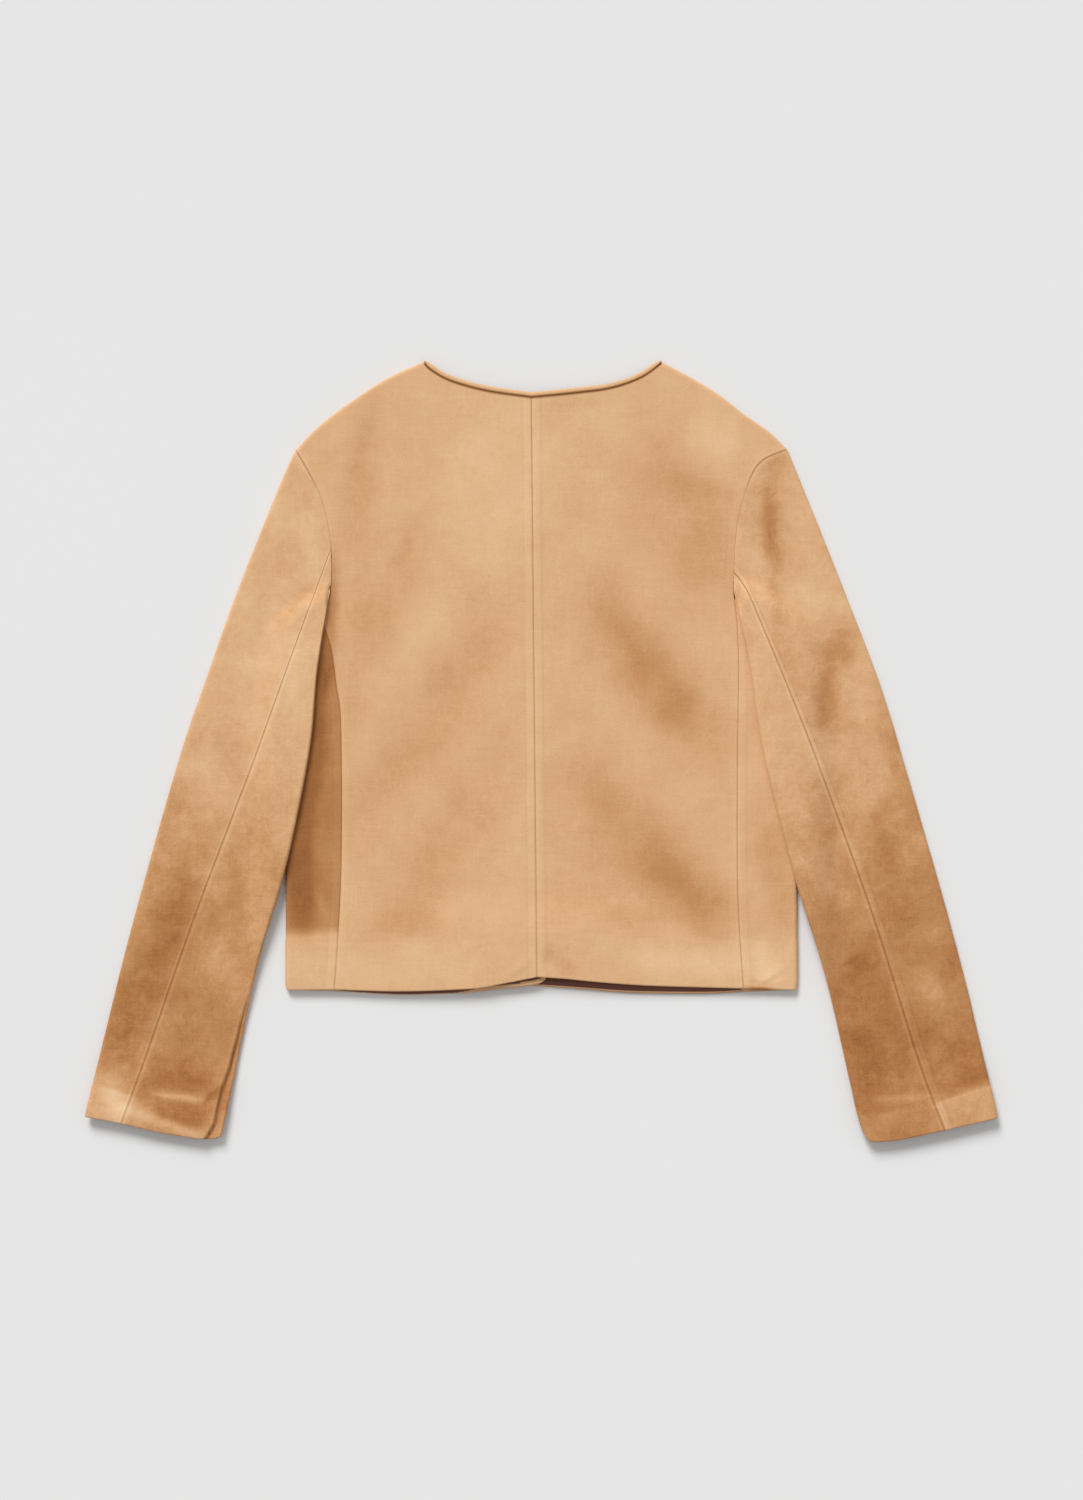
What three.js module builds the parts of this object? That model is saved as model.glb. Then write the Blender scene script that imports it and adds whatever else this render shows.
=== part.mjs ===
// A short collarless suede jacket, laid flat with its back up and its sleeves
// down its sides. Every cut piece is a wall of cloth of its own: two backs, two
// side panels that fold round from the back to the front, two fronts with their
// facings, two-piece sleeves, and a narrow binding round the neck.
//
// Millimetres. +X is the wearer's right, +Y points to the neck, +Z up. The
// jacket rests on z = 0, and the origin is under the middle of its bounding box.
import * as THREE from "three";

// ---- Driving dimensions ----
const CLOTH = 1.4; // the suede cloth
const DOUBLED = 2.4; // a turned-up hem or cuff, two layers pressed together
const FACING = 1.0; // the front facings
const SEAM_GAP = 0.3; // between two pieces at a seam
const LAYER_GAP = 0.3; // between two layers that lie on each other
const LOFT = 6.4; // outer face of the upper layer over the outer face of the lower
const FOLD_DEPTH = 3.5; // plan reach of a fold's rounded edge
const HEM_BAND = 45; // depth of the turned-up hem
const CUFF_BAND = 30; // depth of the turned-up cuff
const HALF_HEM = 230; // half the width across the hem
const UNDERARM_IN = 17; // how far the side edge runs in towards the underarm
const SIDE_BEND_Y = -60; // where it starts to run in
const UNDERARM_Y = 117; // top of the side fold
const HEM_Y = -214.5; // hem at the side folds
const FRONT_NECK_Y = 262; // centre of the front neckline
const OVERLAP_X = -20; // edge of the right front, under the left one
const FACING_WIDTH = 88; // from the front edge

// The back arches over the lapped fronts, and more so over their doubled hems.
const CROWN = { height: 1.4, atHem: 3.2, x: -10, reach: 70, hemStart: -120, hemFull: -166 };
// The left front lies on the right one along the opening.
const LAP = { start: -62, full: -26, hemStart: -138, hemFull: -166 };
// Sleeve walls stand this much further off the floor at the cuffs.
const CUFF = { lift: 3.4, start: 0.84, open: 1 };
// The sleeve rides over the body's side: how far it reaches back to the floor.
const RIDE = {
  full: 9, reach: 40, shorterUp: 1.5, clearance: 0.8, atUnderarm: 1.6, loft: 5.4, slimmest: 3.6,
};
// Body layers are pressed together at the underarm, where the sleeve folds over.
const PINCH = { loft: 4.8, reach: 40, from: 150, to: 188 };
const BINDING = { halfWidth: 2, halfHeight: 1.2, gap: 0.4, sides: 6 };

// ---- Outlines, each side's own, as rows of x and y from one end to the other ----
const SIDES = {
  left: {
    sign: -1,
    backNeck: [[-9, 318], [-50, 324], [-82, 333], [-100, 343], [-107, 350]],
    frontNeck: [[4, 262], [-34, 268], [-66, 289], [-90, 320], [-107, 350]],
    shoulder: [[-107, 350], [-138, 336], [-163, 320], [-186, 304], [-205, 288], [-221, 271]],
    backArmhole: [[-192, 126.5], [-189.5, 145], [-189, 182], [-195, 218], [-205, 243], [-221, 271]],
    frontArmhole: [[-192, 126.5], [-189.5, 145], [-183, 182], [-186, 218], [-200, 246], [-221, 271]],
    sideBack: [[-186, -214], [-180, -110], [-180, 0], [-184, 60], [-192, 112], [-192, 126.5]],
    sideFront: [[-181, -216], [-183, -60], [-188, 60], [-192, 126.5]],
    outer: [[-221, 271], [-235, 240], [-273, 145], [-302, 64], [-329, -17], [-374, -179], [-410, -328]],
    inner: [[-189.5, 145], [-201, 73], [-208, 1], [-230, -107], [-255, -192], [-278, -300], [-288, -346]],
    sleeveSeam: [[-189.3, 186], [-208, 134], [-256, 1], [-310, -143], [-355, -273], [-377, -334]],
    cuff: [[-410, -328], [-377, -334], [-343, -342], [-303, -348], [-288, -346]],
    backHem: [[-7, -202.5], [-37, -208.5], [-64, -213], [-127, -215.5], [-186, -214]],
    frontHem: [[3, -205], [-9, -210.5], [-50, -214], [-127, -217], [-181, -216]],
    frontEdgeX: 4,
  },
  right: {
    sign: 1,
    backNeck: [[-9, 318], [31, 322], [63, 326.5], [90, 336], [109.5, 349.5]],
    frontNeck: [[OVERLAP_X, FRONT_NECK_Y], [36, 268], [68, 289], [92, 320], [109.5, 349.5]],
    shoulder: [[109.5, 349.5], [135, 336], [161, 320], [181, 304], [204, 288], [221, 271.5]],
    backArmhole: [[173.6, 124], [172.8, 143.5], [174, 189], [180, 223], [195, 258], [221, 271.5]],
    frontArmhole: [[173.6, 124], [172.8, 143.5], [168, 184], [172, 222], [190, 254], [221, 271.5]],
    sideBack: [[181.5, -213], [176.5, -130], [176, -20], [177, 60], [175, 104], [173.6, 124]],
    sideFront: [[180, -216.5], [181, -60], [178, 60], [173.6, 124]],
    outer: [[221, 271.5], [234, 240], [272, 145], [303, 64], [328, -17], [374, -179], [410, -329]],
    inner: [[172.8, 143.5], [187, 71], [199, -1], [226, -109], [256, -206], [281, -314], [293, -346]],
    sleeveSeam: [[173.4, 172], [194, 127], [245, 1], [297, -143], [340, -281], [362, -340]],
    cuff: [[410, -329], [362, -340], [327, -349], [305, -351], [293, -346]],
    backHem: [[-7, -202.5], [17, -204], [53, -207.5], [98, -210.5], [181.5, -213]],
    frontHem: [[OVERLAP_X, -210], [36, -214], [70, -217.5], [98, -218.3], [180, -216.5]],
    frontEdgeX: OVERLAP_X,
  },
};
const INNER_SEAM_IN = 24; // the hidden sleeve seam, in from the inner fold
const HPS_SHARE = 0.45; // share of a back's or front's columns along the neck
const SIDE_SHARE = 0.64; // share of a back's or front's rows along the side seam

// ---- Rows and columns of the facets, as shares of a panel ----
const HEM_SHARE = HEM_BAND / 342;
const SIDE_ROWS = [0, HEM_SHARE - 0.003, HEM_SHARE, 0.27, 0.42, 0.57, 0.7, 0.79, 0.86, 0.91, 0.955, 1];
const NECK_STOPS = [0, 0.18, 0.36, 0.54, 0.72, 0.88, 1];
const BODY_COLUMNS = [...NECK_STOPS.map((stop) => stop * HPS_SHARE), 0.62, 0.8, 1];
const CUFF_SHARE = 1 - CUFF_BAND / 625;
const SLEEVE_ROWS = [0, 0.022, 0.042, 0.062, 0.083, 0.107, 0.15, 0.22, 0.32, 0.44, 0.57, 0.7, 0.82, 0.89,
  CUFF_SHARE, CUFF_SHARE + 0.003, 1];
// Shares of an armhole from the side seam to the shoulder point.
const ARMHOLE = { underarm: 0.12, backSeam: 0.38, frontSeam: 0.28, gap: 0.45 };
const UPPER_STOPS = [0, 0.12, 0.32, 0.54, 0.76, 0.94];
const UNDER_STOPS = [0, 1 / 3, 2 / 3];
const FOLD_ANGLES = [90, 45, 0, -45, -90];

// ---- Curves and patches in plan ----
const { smoothstep, lerp, degToRad } = THREE.MathUtils;

/** A smooth plan curve through rows of x and y, by share of its length. */
function through(rows) {
  const curve = new THREE.SplineCurve(rows.map(([x, y]) => new THREE.Vector2(x, y)));
  return (share) => curve.getPointAt(THREE.MathUtils.clamp(share, 0, 1));
}

/** The stretch of a curve between two shares, either way round. */
const stretch = (curve, from, to) => (share) => curve(lerp(from, to, share));

/** A curve moved sideways, to its left for a positive distance. */
const beside = (curve, distance) => (share) => {
  const along = curve(share + 0.002).sub(curve(share - 0.002)).normalize();
  return curve(share).add(new THREE.Vector2(-along.y, along.x).multiplyScalar(distance));
};

/** Two curves end to end, the first taking `share` of the whole. */
const joined = (first, second, share) => (t) =>
  t < share ? first(t / share) : second((t - share) / (1 - share));

/** The plan patch between four curves: low and high run across, near and far run along. */
function patch(low, high, near, far) {
  const corners = [low(0), low(1), high(0), high(1)];
  return (u, v) => {
    const across = low(u).lerp(high(u), v);
    const along = near(v).lerp(far(v), u);
    const bottom = corners[0].clone().lerp(corners[1], u);
    const top = corners[2].clone().lerp(corners[3], u);
    return across.add(along).sub(bottom.lerp(top, v));
  };
}

/** Shortest plan distance from a point to a curve. */
function distanceTo(curve, samples = 60) {
  const points = Array.from({ length: samples + 1 }, (_, i) => curve(i / samples));
  return (p) => {
    let nearest = Infinity;
    for (let i = 0; i < samples; i++) {
      const side = points[i + 1].clone().sub(points[i]);
      const share = p.clone().sub(points[i]).dot(side) / side.lengthSq();
      const foot = points[i].clone().addScaledVector(side, THREE.MathUtils.clamp(share, 0, 1));
      nearest = Math.min(nearest, foot.distanceTo(p));
    }
    return nearest;
  };
}

// ---- Heights ----
const sideEdgeX = (y) =>
  HALF_HEM - UNDERARM_IN * Math.max(0, (y - SIDE_BEND_Y) / (UNDERARM_Y - SIDE_BEND_Y)) ** 2;

/** Height of a side panel's top edge in plan, in from the side fold. */
function underarmY(side, x) {
  const [seamX, seamY] = side.sideBack.at(-1);
  const share = (Math.abs(x) - Math.abs(seamX)) / (sideEdgeX(UNDERARM_Y) - Math.abs(seamX));
  return lerp(seamY, UNDERARM_Y, share);
}

/** The body's upper outer face, clear of its folded edges. */
function bodyTop(side, p) {
  const hem = smoothstep(-p.y, -CROWN.hemStart, -CROWN.hemFull);
  const crown = lerp(CROWN.height, CROWN.atHem, hem) * Math.exp(-(((p.x - CROWN.x) / CROWN.reach) ** 2));
  const near = smoothstep(PINCH.reach - Math.abs(underarmY(side, p.x) - p.y), 0, PINCH.reach);
  const pinch = near * smoothstep(Math.abs(p.x), PINCH.from, PINCH.to);
  return lerp(LOFT + crown, PINCH.loft, pinch);
}

/** How far the left front's outer face is held up by the right front it laps over. */
function lapHeight(p) {
  const hem = smoothstep(-p.y, -LAP.hemStart, -LAP.hemFull);
  const stack = lerp(CLOTH, DOUBLED, hem) + FACING + 2 * LAYER_GAP;
  return stack * smoothstep(p.x, LAP.start, LAP.full);
}

/** From 0, beyond reach, to 1, where a sleeve lies right over the body's side. */
function ride(side, p) {
  const out = Math.abs(p.x) - sideEdgeX(p.y);
  const up = (p.y - underarmY(side, p.x)) * RIDE.shorterUp;
  const clear = out > 0 && up > 0 ? Math.hypot(out, up) : Math.max(out, up);
  return smoothstep(RIDE.reach - clear, 0, RIDE.reach - RIDE.full);
}

/** Outer faces of a sleeve's lower and upper layers at a plan point and a share of its length. */
function sleeveHeights(side, p, v) {
  const over = ride(side, p);
  const cuff = smoothstep(v, CUFF.start, 1);
  const top = underarmY(side, p.x);
  const clearance = RIDE.clearance + RIDE.atUnderarm * smoothstep(p.y, top - 60, top);
  const under = (bodyTop(side, p) + clearance) * over + CUFF.lift * cuff;
  const free = lerp(LOFT, RIDE.loft, over) + CUFF.open * cuff;
  const atSeam = bodyTop(side, p) - under;
  const loft = Math.max(RIDE.slimmest, lerp(atSeam, free, smoothstep(v, 0, 0.05)));
  return { low: under, high: under + loft };
}

/** How open a folded or closed edge is, from 0 on the edge to 1 a fold's depth in. */
const roundOff = (distance) => Math.sqrt(1 - (1 - Math.min(1, distance / FOLD_DEPTH)) ** 2);

// ---- Walls ----

/** Keeps a seam's cut edge upright: takes out the part of a normal that leans along a plan way. */
function squareTo(normal, way) {
  const plan = new THREE.Vector3(way.x, way.y, 0);
  const flatness = plan.length() / way.length();
  plan.normalize();
  normal.addScaledVector(plan, -normal.dot(plan) * flatness);
}

/**
 * A closed wall of cloth. face(u, v) is its outer face, and the inner one lies
 * thickness(v) behind it. outward is 1 where u runs anticlockwise round v.
 */
function wall(columns, rows, face, thickness, outward) {
  const wide = columns.length;
  const tall = rows.length;
  const count = wide * tall;
  const step = 1e-4;
  const outer = [];
  const inner = [];
  for (const v of rows) {
    for (const u of columns) {
      const point = face(u, v);
      const [u0, u1] = [Math.max(columns[0], u - step), Math.min(columns.at(-1), u + step)];
      const [v0, v1] = [Math.max(rows[0], v - step), Math.min(rows.at(-1), v + step)];
      const across = face(u1, v).sub(face(u0, v));
      const along = face(u, v1).sub(face(u, v0));
      const normal = across.clone().cross(along).normalize().multiplyScalar(outward);
      if (v === rows[0] || v === rows.at(-1)) squareTo(normal, along);
      if (u === columns[0] || u === columns.at(-1)) squareTo(normal, across);
      outer.push(point);
      inner.push(point.clone().addScaledVector(normal, -thickness(v)));
    }
  }
  const index = [];
  const points = [...outer, ...inner];
  const apart = (a, b) => points[a].distanceToSquared(points[b]);
  const quad = (a, b, c, d) => {
    const turned = apart(a, c) > apart(b, d) ? [b, c, d, b, d, a] : [a, b, c, a, c, d];
    index.push(...(outward > 0 ? turned : turned.reverse()));
  };
  for (let j = 0; j < tall - 1; j++) {
    for (let i = 0; i < wide - 1; i++) {
      const a = j * wide + i;
      quad(a, a + 1, a + wide + 1, a + wide);
      quad(a + count, a + wide + count, a + wide + 1 + count, a + 1 + count);
    }
  }
  const rim = (a, b) => quad(b, a, a + count, b + count);
  for (let i = 0; i < wide - 1; i++) {
    rim(i, i + 1);
    rim(count - 1 - i, count - 2 - i);
  }
  for (let j = 0; j < tall - 1; j++) {
    rim((j + 1) * wide, j * wide);
    rim((j + 1) * wide - 1, (j + 2) * wide - 1);
  }
  const geometry = new THREE.BufferGeometry().setFromPoints(points);
  geometry.setIndex(index);
  geometry.computeVertexNormals();
  return geometry;
}

const doubledBelow = (share) => (v) => (v < share ? DOUBLED : CLOTH);
const doubledAbove = (share) => (v) => (v > share ? DOUBLED : CLOTH);

/** Pulls a panel's shares in, so that it keeps half a seam gap on each side. */
const inset = (share, length) => lerp(SEAM_GAP / 2 / length, 1 - SEAM_GAP / 2 / length, share);

/** One half of the back or front as a patch, from its centre edge to its side. */
function bodyPatch(side, { hem, edge, neck, armhole, seam }) {
  const top = joined(through(neck), through(side.shoulder), HPS_SHARE);
  const outerSide = joined(through(seam), through(armhole), SIDE_SHARE);
  return patch(through(hem), top, edge, outerSide);
}

/** Rows of a back or front: the side seam's, then the armhole's own stops. */
function bodyRows(seamShare) {
  const atSide = SIDE_ROWS.map((row) => row * SIDE_SHARE);
  const under = UNDER_STOPS.map((stop) => lerp(ARMHOLE.underarm, seamShare, stop));
  const upper = UPPER_STOPS.map((stop) => lerp(seamShare, 1, stop));
  const closing = [0.977, 0.988, 0.996, 1];
  const atArmhole = [...under, ...upper, ...closing];
  return [...atSide, ...atArmhole.map((row) => lerp(SIDE_SHARE, 1, row))];
}

function backPanel(side) {
  const centre = (v) => new THREE.Vector2(lerp(-4, -9, v), lerp(-202.5, 318, v));
  const plan = bodyPatch(side, {
    hem: side.backHem, edge: centre, neck: side.backNeck, armhole: side.backArmhole, seam: side.sideBack,
  });
  const shoulder = distanceTo(through(side.shoulder));
  const middle = LOFT / 2;
  const face = (u, v) => {
    const p = plan(inset(u, 190), v);
    const z = lerp(middle + SEAM_GAP, bodyTop(side, p), roundOff(shoulder(p)));
    return new THREE.Vector3(p.x, p.y, z);
  };
  const rows = bodyRows(ARMHOLE.backSeam);
  return wall(BODY_COLUMNS, rows, face, doubledBelow(HEM_SHARE * SIDE_SHARE - 0.001), side.sign);
}

function frontPlan(side) {
  const [, hemY] = side.frontHem[0];
  const edge = (v) => new THREE.Vector2(side.frontEdgeX, lerp(hemY, side.frontNeck[0][1], v));
  return bodyPatch(side, {
    hem: [[side.frontEdgeX, hemY], ...side.frontHem.slice(1)],
    edge, neck: side.frontNeck, armhole: side.frontArmhole, seam: side.sideFront,
  });
}

/** The outer face of a front, which lies on the floor or on the other front. */
function frontFace(side) {
  const plan = frontPlan(side);
  const shoulder = distanceTo(through(side.shoulder));
  const middle = LOFT / 2;
  return (u, v) => {
    const p = plan(inset(u, 190), v);
    const rest = side.sign < 0 ? lapHeight(p) : 0;
    const z = lerp(middle - SEAM_GAP, rest, roundOff(shoulder(p)));
    return new THREE.Vector3(p.x, p.y, z);
  };
}

function frontPanel(side) {
  const rows = bodyRows(ARMHOLE.frontSeam);
  const thickness = doubledBelow(HEM_SHARE * SIDE_SHARE - 0.001);
  return wall(BODY_COLUMNS, rows, frontFace(side), thickness, -side.sign);
}

/** A strip along a front's edge, lying on its inner face. The left one ends above the hem. */
function facing(side) {
  const below = frontFace(side);
  const width = FACING_WIDTH / (180 - Math.abs(side.frontEdgeX));
  const bandTop = HEM_SHARE * SIDE_SHARE;
  const start = side.sign < 0 ? bandTop + 0.012 : 0.012;
  const bottoms = side.sign < 0 ? [start] : [start, bandTop - 0.001, bandTop + 0.004];
  const rows = [...bottoms, 0.17, 0.27, 0.38, 0.48, 0.58, 0.68, 0.78, 0.87, 0.94];
  const columns = BODY_COLUMNS.filter((u) => u < width).map((u) => Math.max(u, 0.01));
  const face = (u, v) => {
    const p = below(u, v);
    const cloth = lerp(CLOTH, DOUBLED, 1 - smoothstep(v, bandTop - 0.001, bandTop + 0.004));
    p.z += cloth + LAYER_GAP;
    return p;
  };
  return wall(columns, rows, face, () => FACING, -side.sign);
}

/** The share of a layer's width that a fold's rounded edge takes. */
const foldShare = (layer, v) => FOLD_DEPTH / layer(0, v).distanceTo(layer(1, v));

/**
 * A panel that folds round an edge, from a seam in the upper layer to a seam in
 * the lower. top and bottom are plan patches with u = 0 on the fold; heights
 * gives both outer faces. Columns are built by wrapColumns.
 */
function wrapFace(top, bottom, heights) {
  return (u, v) => {
    const part = Math.min(2, Math.floor(u));
    const local = u - part;
    if (part !== 1) {
      const layer = part === 0 ? top : bottom;
      const p = layer(lerp(foldShare(layer, v), 1, part === 0 ? 1 - local : local), v);
      const z = heights(p, v);
      return new THREE.Vector3(p.x, p.y, part === 0 ? z.high : z.low);
    }
    const angle = lerp(Math.PI / 2, -Math.PI / 2, local);
    const reach = 1 - Math.cos(angle);
    const above = top(reach * foldShare(top, v), v);
    const p = bottom(reach * foldShare(bottom, v), v).lerp(above, (1 + Math.sin(angle)) / 2);
    const z = heights(p, v);
    return new THREE.Vector3(p.x, p.y, lerp(z.low, z.high, (1 + Math.sin(angle)) / 2));
  };
}

/** Columns of a folded panel: 0 to 1 in the upper layer, 1 to 2 round the fold, 2 to 3 below. */
function wrapColumns(above, below, seamInset) {
  const round = FOLD_ANGLES.slice(1, -1).map((angle) => 1.5 - angle / 180);
  const columns = [...above, 1, ...round, 2, ...below.map((share) => 2 + share)];
  columns[0] += seamInset;
  columns[columns.length - 1] -= seamInset;
  return columns;
}

function sidePanel(side) {
  const fold = (v) => {
    const y = lerp(HEM_Y, UNDERARM_Y, v);
    return new THREE.Vector2(side.sign * sideEdgeX(y), y);
  };
  const straight = (from, to) => (share) => from.clone().lerp(to, share);
  const layer = (rows) => {
    const seam = through(rows);
    return patch(straight(fold(0), seam(0)), straight(fold(1), seam(1)), fold, seam);
  };
  const heights = (p) => ({ low: 0, high: bodyTop(side, p) });
  const face = wrapFace(layer(side.sideBack), layer(side.sideFront), heights);
  const columns = wrapColumns([0, 0.35, 0.7], [0.5, 1], SEAM_GAP / 2 / 45);
  return wall(columns, SIDE_ROWS, face, doubledBelow(HEM_SHARE - 0.001), side.sign);
}

/** The hidden seam under a sleeve, a constant distance in from its inner fold. */
function innerSeam(side) {
  const inner = through(side.inner);
  const start = through(side.frontArmhole)(ARMHOLE.frontSeam);
  return (v) => {
    const p = inner(v);
    const away = new THREE.Vector2(side.sign * INNER_SEAM_IN * 0.97, INNER_SEAM_IN * 0.24);
    return p.add(away).lerp(start, Math.max(0, 1 - v / 0.1));
  };
}

/** One panel of a sleeve, from the seam on top, round its fold, to the hidden seam. */
function sleevePanel(side, upper) {
  const { sign } = side;
  const edge = through(upper ? side.outer : side.inner);
  const cuff = through(side.cuff);
  const cuffAt = (x) => {
    const shares = Array.from({ length: 101 }, (_, i) => i / 100);
    return shares.reduce((a, b) => (Math.abs(cuff(b).x - x) < Math.abs(cuff(a).x - x) ? b : a));
  };
  const layer = (armholeRows, seamShare, seam) => {
    const armhole = beside(through(armholeRows), -sign * ARMHOLE.gap);
    const [from, to] = upper ? [1, seamShare] : [ARMHOLE.underarm, seamShare];
    const seamCuff = cuffAt(seam(1).x);
    const low = stretch(armhole, from, to);
    const high = stretch(cuff, upper ? 0 : 1, seamCuff);
    const seamEdge = (v) => {
      const p = seam(v);
      const startGap = low(1).clone().sub(seam(0)).multiplyScalar(1 - v);
      const endGap = high(1).clone().sub(seam(1)).multiplyScalar(v);
      return p.add(startGap).add(endGap);
    };
    const foldEdge = (v) => {
      const startGap = low(0).clone().sub(edge(0)).multiplyScalar(Math.max(0, 1 - 8 * v));
      return edge(v).add(startGap);
    };
    return patch(low, high, foldEdge, seamEdge);
  };
  const top = layer(side.backArmhole, ARMHOLE.backSeam, through(side.sleeveSeam));
  const bottom = layer(side.frontArmhole, ARMHOLE.frontSeam, innerSeam(side));
  const heights = (p, v) => sleeveHeights(side, p, v);
  const face = wrapFace(top, bottom, heights);
  const stops = upper ? UPPER_STOPS : UNDER_STOPS;
  const above = stops.map((stop) => stop / (1 - foldShare(top, 0)));
  const below = stops.map((stop) => 1 - stop / (1 - foldShare(bottom, 0)));
  const columns = wrapColumns(above, below.reverse(), SEAM_GAP / 2 / 45);
  return wall(columns, SLEEVE_ROWS, face, doubledAbove(CUFF_SHARE + 0.001), upper ? -sign : sign);
}

/** A closed oval tube beside a neck edge, standing outside it by half its width. */
function binding(curve, height, stops, outside) {
  const { halfWidth, halfHeight, gap, sides } = BINDING;
  const points = [];
  for (const stop of stops) {
    const share = THREE.MathUtils.clamp(stop, 0.006, 0.994);
    const p = curve(share);
    const middle = beside(curve, outside * (halfWidth + gap))(share);
    const away = middle.clone().sub(p).normalize();
    for (let i = 0; i < sides; i++) {
      const angle = degToRad((360 * i) / sides);
      const reach = Math.cos(angle) * halfWidth;
      const z = height(p) + Math.sin(angle) * halfHeight;
      points.push(new THREE.Vector3(middle.x + away.x * reach, middle.y + away.y * reach, z));
    }
  }
  const index = [];
  const steps = stops.length - 1;
  const triangle = (a, b, c) => index.push(...(outside > 0 ? [a, b, c] : [a, c, b]));
  for (let j = 0; j < steps; j++) {
    for (let i = 0; i < sides; i++) {
      const [a, b] = [j * sides + i, j * sides + ((i + 1) % sides)];
      triangle(a, b, b + sides);
      triangle(a, b + sides, a + sides);
    }
  }
  const last = steps * sides;
  for (let i = 1; i < sides - 1; i++) {
    triangle(0, i + 1, i);
    triangle(last, last + i, last + i + 1);
  }
  const geometry = new THREE.BufferGeometry().setFromPoints(points);
  geometry.setIndex(index);
  geometry.computeVertexNormals();
  return geometry;
}

/** The whole back neck, from the left shoulder to the right one. */
function backNeckCurve() {
  const left = through(SIDES.left.backNeck);
  const right = through(SIDES.right.backNeck);
  return (share) => (share < 0.5 ? left(1 - 2 * share) : right(2 * share - 1));
}

// ---- The jacket ----
const SUEDE = new THREE.MeshStandardMaterial({ color: 0xd8ab78, roughness: 0.95, metalness: 0 });
const FACING_CLOTH = new THREE.MeshStandardMaterial({ color: 0x9a6848, roughness: 0.95, metalness: 0 });

const jacket = new THREE.Group();

function add(name, geometry, material = SUEDE) {
  const mesh = new THREE.Mesh(geometry, material);
  mesh.name = name;
  jacket.add(mesh);
}

for (const [name, side] of Object.entries(SIDES)) {
  add(`back_${name}`, backPanel(side));
  add(`side_${name}`, sidePanel(side));
  add(`front_${name}`, frontPanel(side));
  add(`facing_${name}`, facing(side), FACING_CLOTH);
  add(`sleeve_${name}_upper`, sleevePanel(side, true));
  add(`sleeve_${name}_under`, sleevePanel(side, false));
  const neck = through(side.frontNeck);
  const frontHeight = (p) => BINDING.halfHeight + 0.1 + (side.sign < 0 ? lapHeight(p) : 0);
  add(`neck_binding_front_${name}`, binding(neck, frontHeight, NECK_STOPS, side.sign));
}
const leftStops = NECK_STOPS.map((stop) => 0.5 - stop / 2).reverse();
const bothWays = [...leftStops, ...NECK_STOPS.slice(1).map((stop) => 0.5 + stop / 2)];
const backHeight = (p) =>
  LOFT + CROWN.height * Math.exp(-((p.x / CROWN.reach) ** 2)) - BINDING.halfHeight - 0.25;
add("neck_binding_back", binding(backNeckCurve(), backHeight, bothWays, 1));

export default jacket;
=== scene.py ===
"""A short collarless suede jacket, laid flat with its back up, dressed for rendering.

Every cut piece of cloth is a fine shell on the form of its own solid, with soft
creases, seams that sink in, turned-up hems and cuffs, and a brushed nap whose
colour also carries painted shade and painted highlights. Plan sizes are in
millimetres and are turned to metres as each mesh is made.
"""

import logging
import math
from collections.abc import Callable, Sequence
from dataclasses import dataclass, field
from enum import Enum
from typing import Any

import bmesh
import bpy
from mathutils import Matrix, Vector, noise


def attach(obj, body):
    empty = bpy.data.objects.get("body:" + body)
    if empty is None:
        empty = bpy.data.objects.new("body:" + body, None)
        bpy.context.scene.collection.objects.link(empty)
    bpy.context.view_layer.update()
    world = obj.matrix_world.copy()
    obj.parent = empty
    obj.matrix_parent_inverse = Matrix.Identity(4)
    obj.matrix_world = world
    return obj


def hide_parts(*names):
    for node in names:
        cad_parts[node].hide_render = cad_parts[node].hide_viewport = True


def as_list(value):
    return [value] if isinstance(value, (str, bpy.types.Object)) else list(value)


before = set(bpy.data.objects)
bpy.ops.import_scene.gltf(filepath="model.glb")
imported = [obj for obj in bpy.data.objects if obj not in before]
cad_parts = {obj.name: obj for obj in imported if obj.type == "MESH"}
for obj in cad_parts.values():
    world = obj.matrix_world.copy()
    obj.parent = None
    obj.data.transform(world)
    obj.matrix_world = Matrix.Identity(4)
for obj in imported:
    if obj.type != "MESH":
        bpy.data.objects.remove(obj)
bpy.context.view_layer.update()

logging.basicConfig(level=logging.INFO, format="%(message)s")
log = logging.getLogger("jacket")

Curve = Callable[[float], Vector]
Plan = Callable[[float, float], Vector]
Rows = Sequence[tuple[float, float]]
Ramp = Sequence[tuple[float, tuple[float, float, float]]]
Socket = bpy.types.NodeSocket

# ---- Sizes of the jacket, in millimetres ----
MM = 0.001  # in metres
CLOTH = 1.4  # the cloth's thickness
DOUBLED = 2.4  # a turned-up hem or cuff, two layers pressed together
FACING_CLOTH = 1.0
RIM_CLOTH = 0.6
SEAM_GAP = 0.04
ARMHOLE_GAP = 0.05
LAYER_GAP = 0.3  # between two layers that lie on each other
LOFT = 6.4  # the upper layer's outer face over the lower layer's
FOLD_DEPTH = 3.5  # how far in a fold's rounded edge reaches
HEM_BAND = 45.0
CUFF_BAND = 30.0
CUFF_LIFT = 3.4  # how far a cuff stands off the floor
HALF_HEM = 230.0
UNDERARM_IN = 17.0  # how far the side fold runs in towards the underarm
SIDE_BEND_Y = -60.0  # where it starts to run in
UNDERARM_Y = 117.0
HEM_Y = -214.5
FACING_WIDTH = 84.0
INNER_SEAM_IN = 24.0  # the sleeve's hidden seam, in from its inner fold
NECK_LENGTH = 90.0  # half the back neck
SHOULDER_LENGTH = 105.0
SIDE_LENGTH = 342.0
ARMHOLE_LENGTH = 168.0
FACING_LENGTH = 480.0
SLEEVE_LENGTH = 620.0
BODY_WIDTH = 190.0  # of half a back or front
SIDE_WIDTH = 46.0  # of each layer of a side panel
UPPER_WIDTH = 92.0  # of each layer of an upper sleeve
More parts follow.
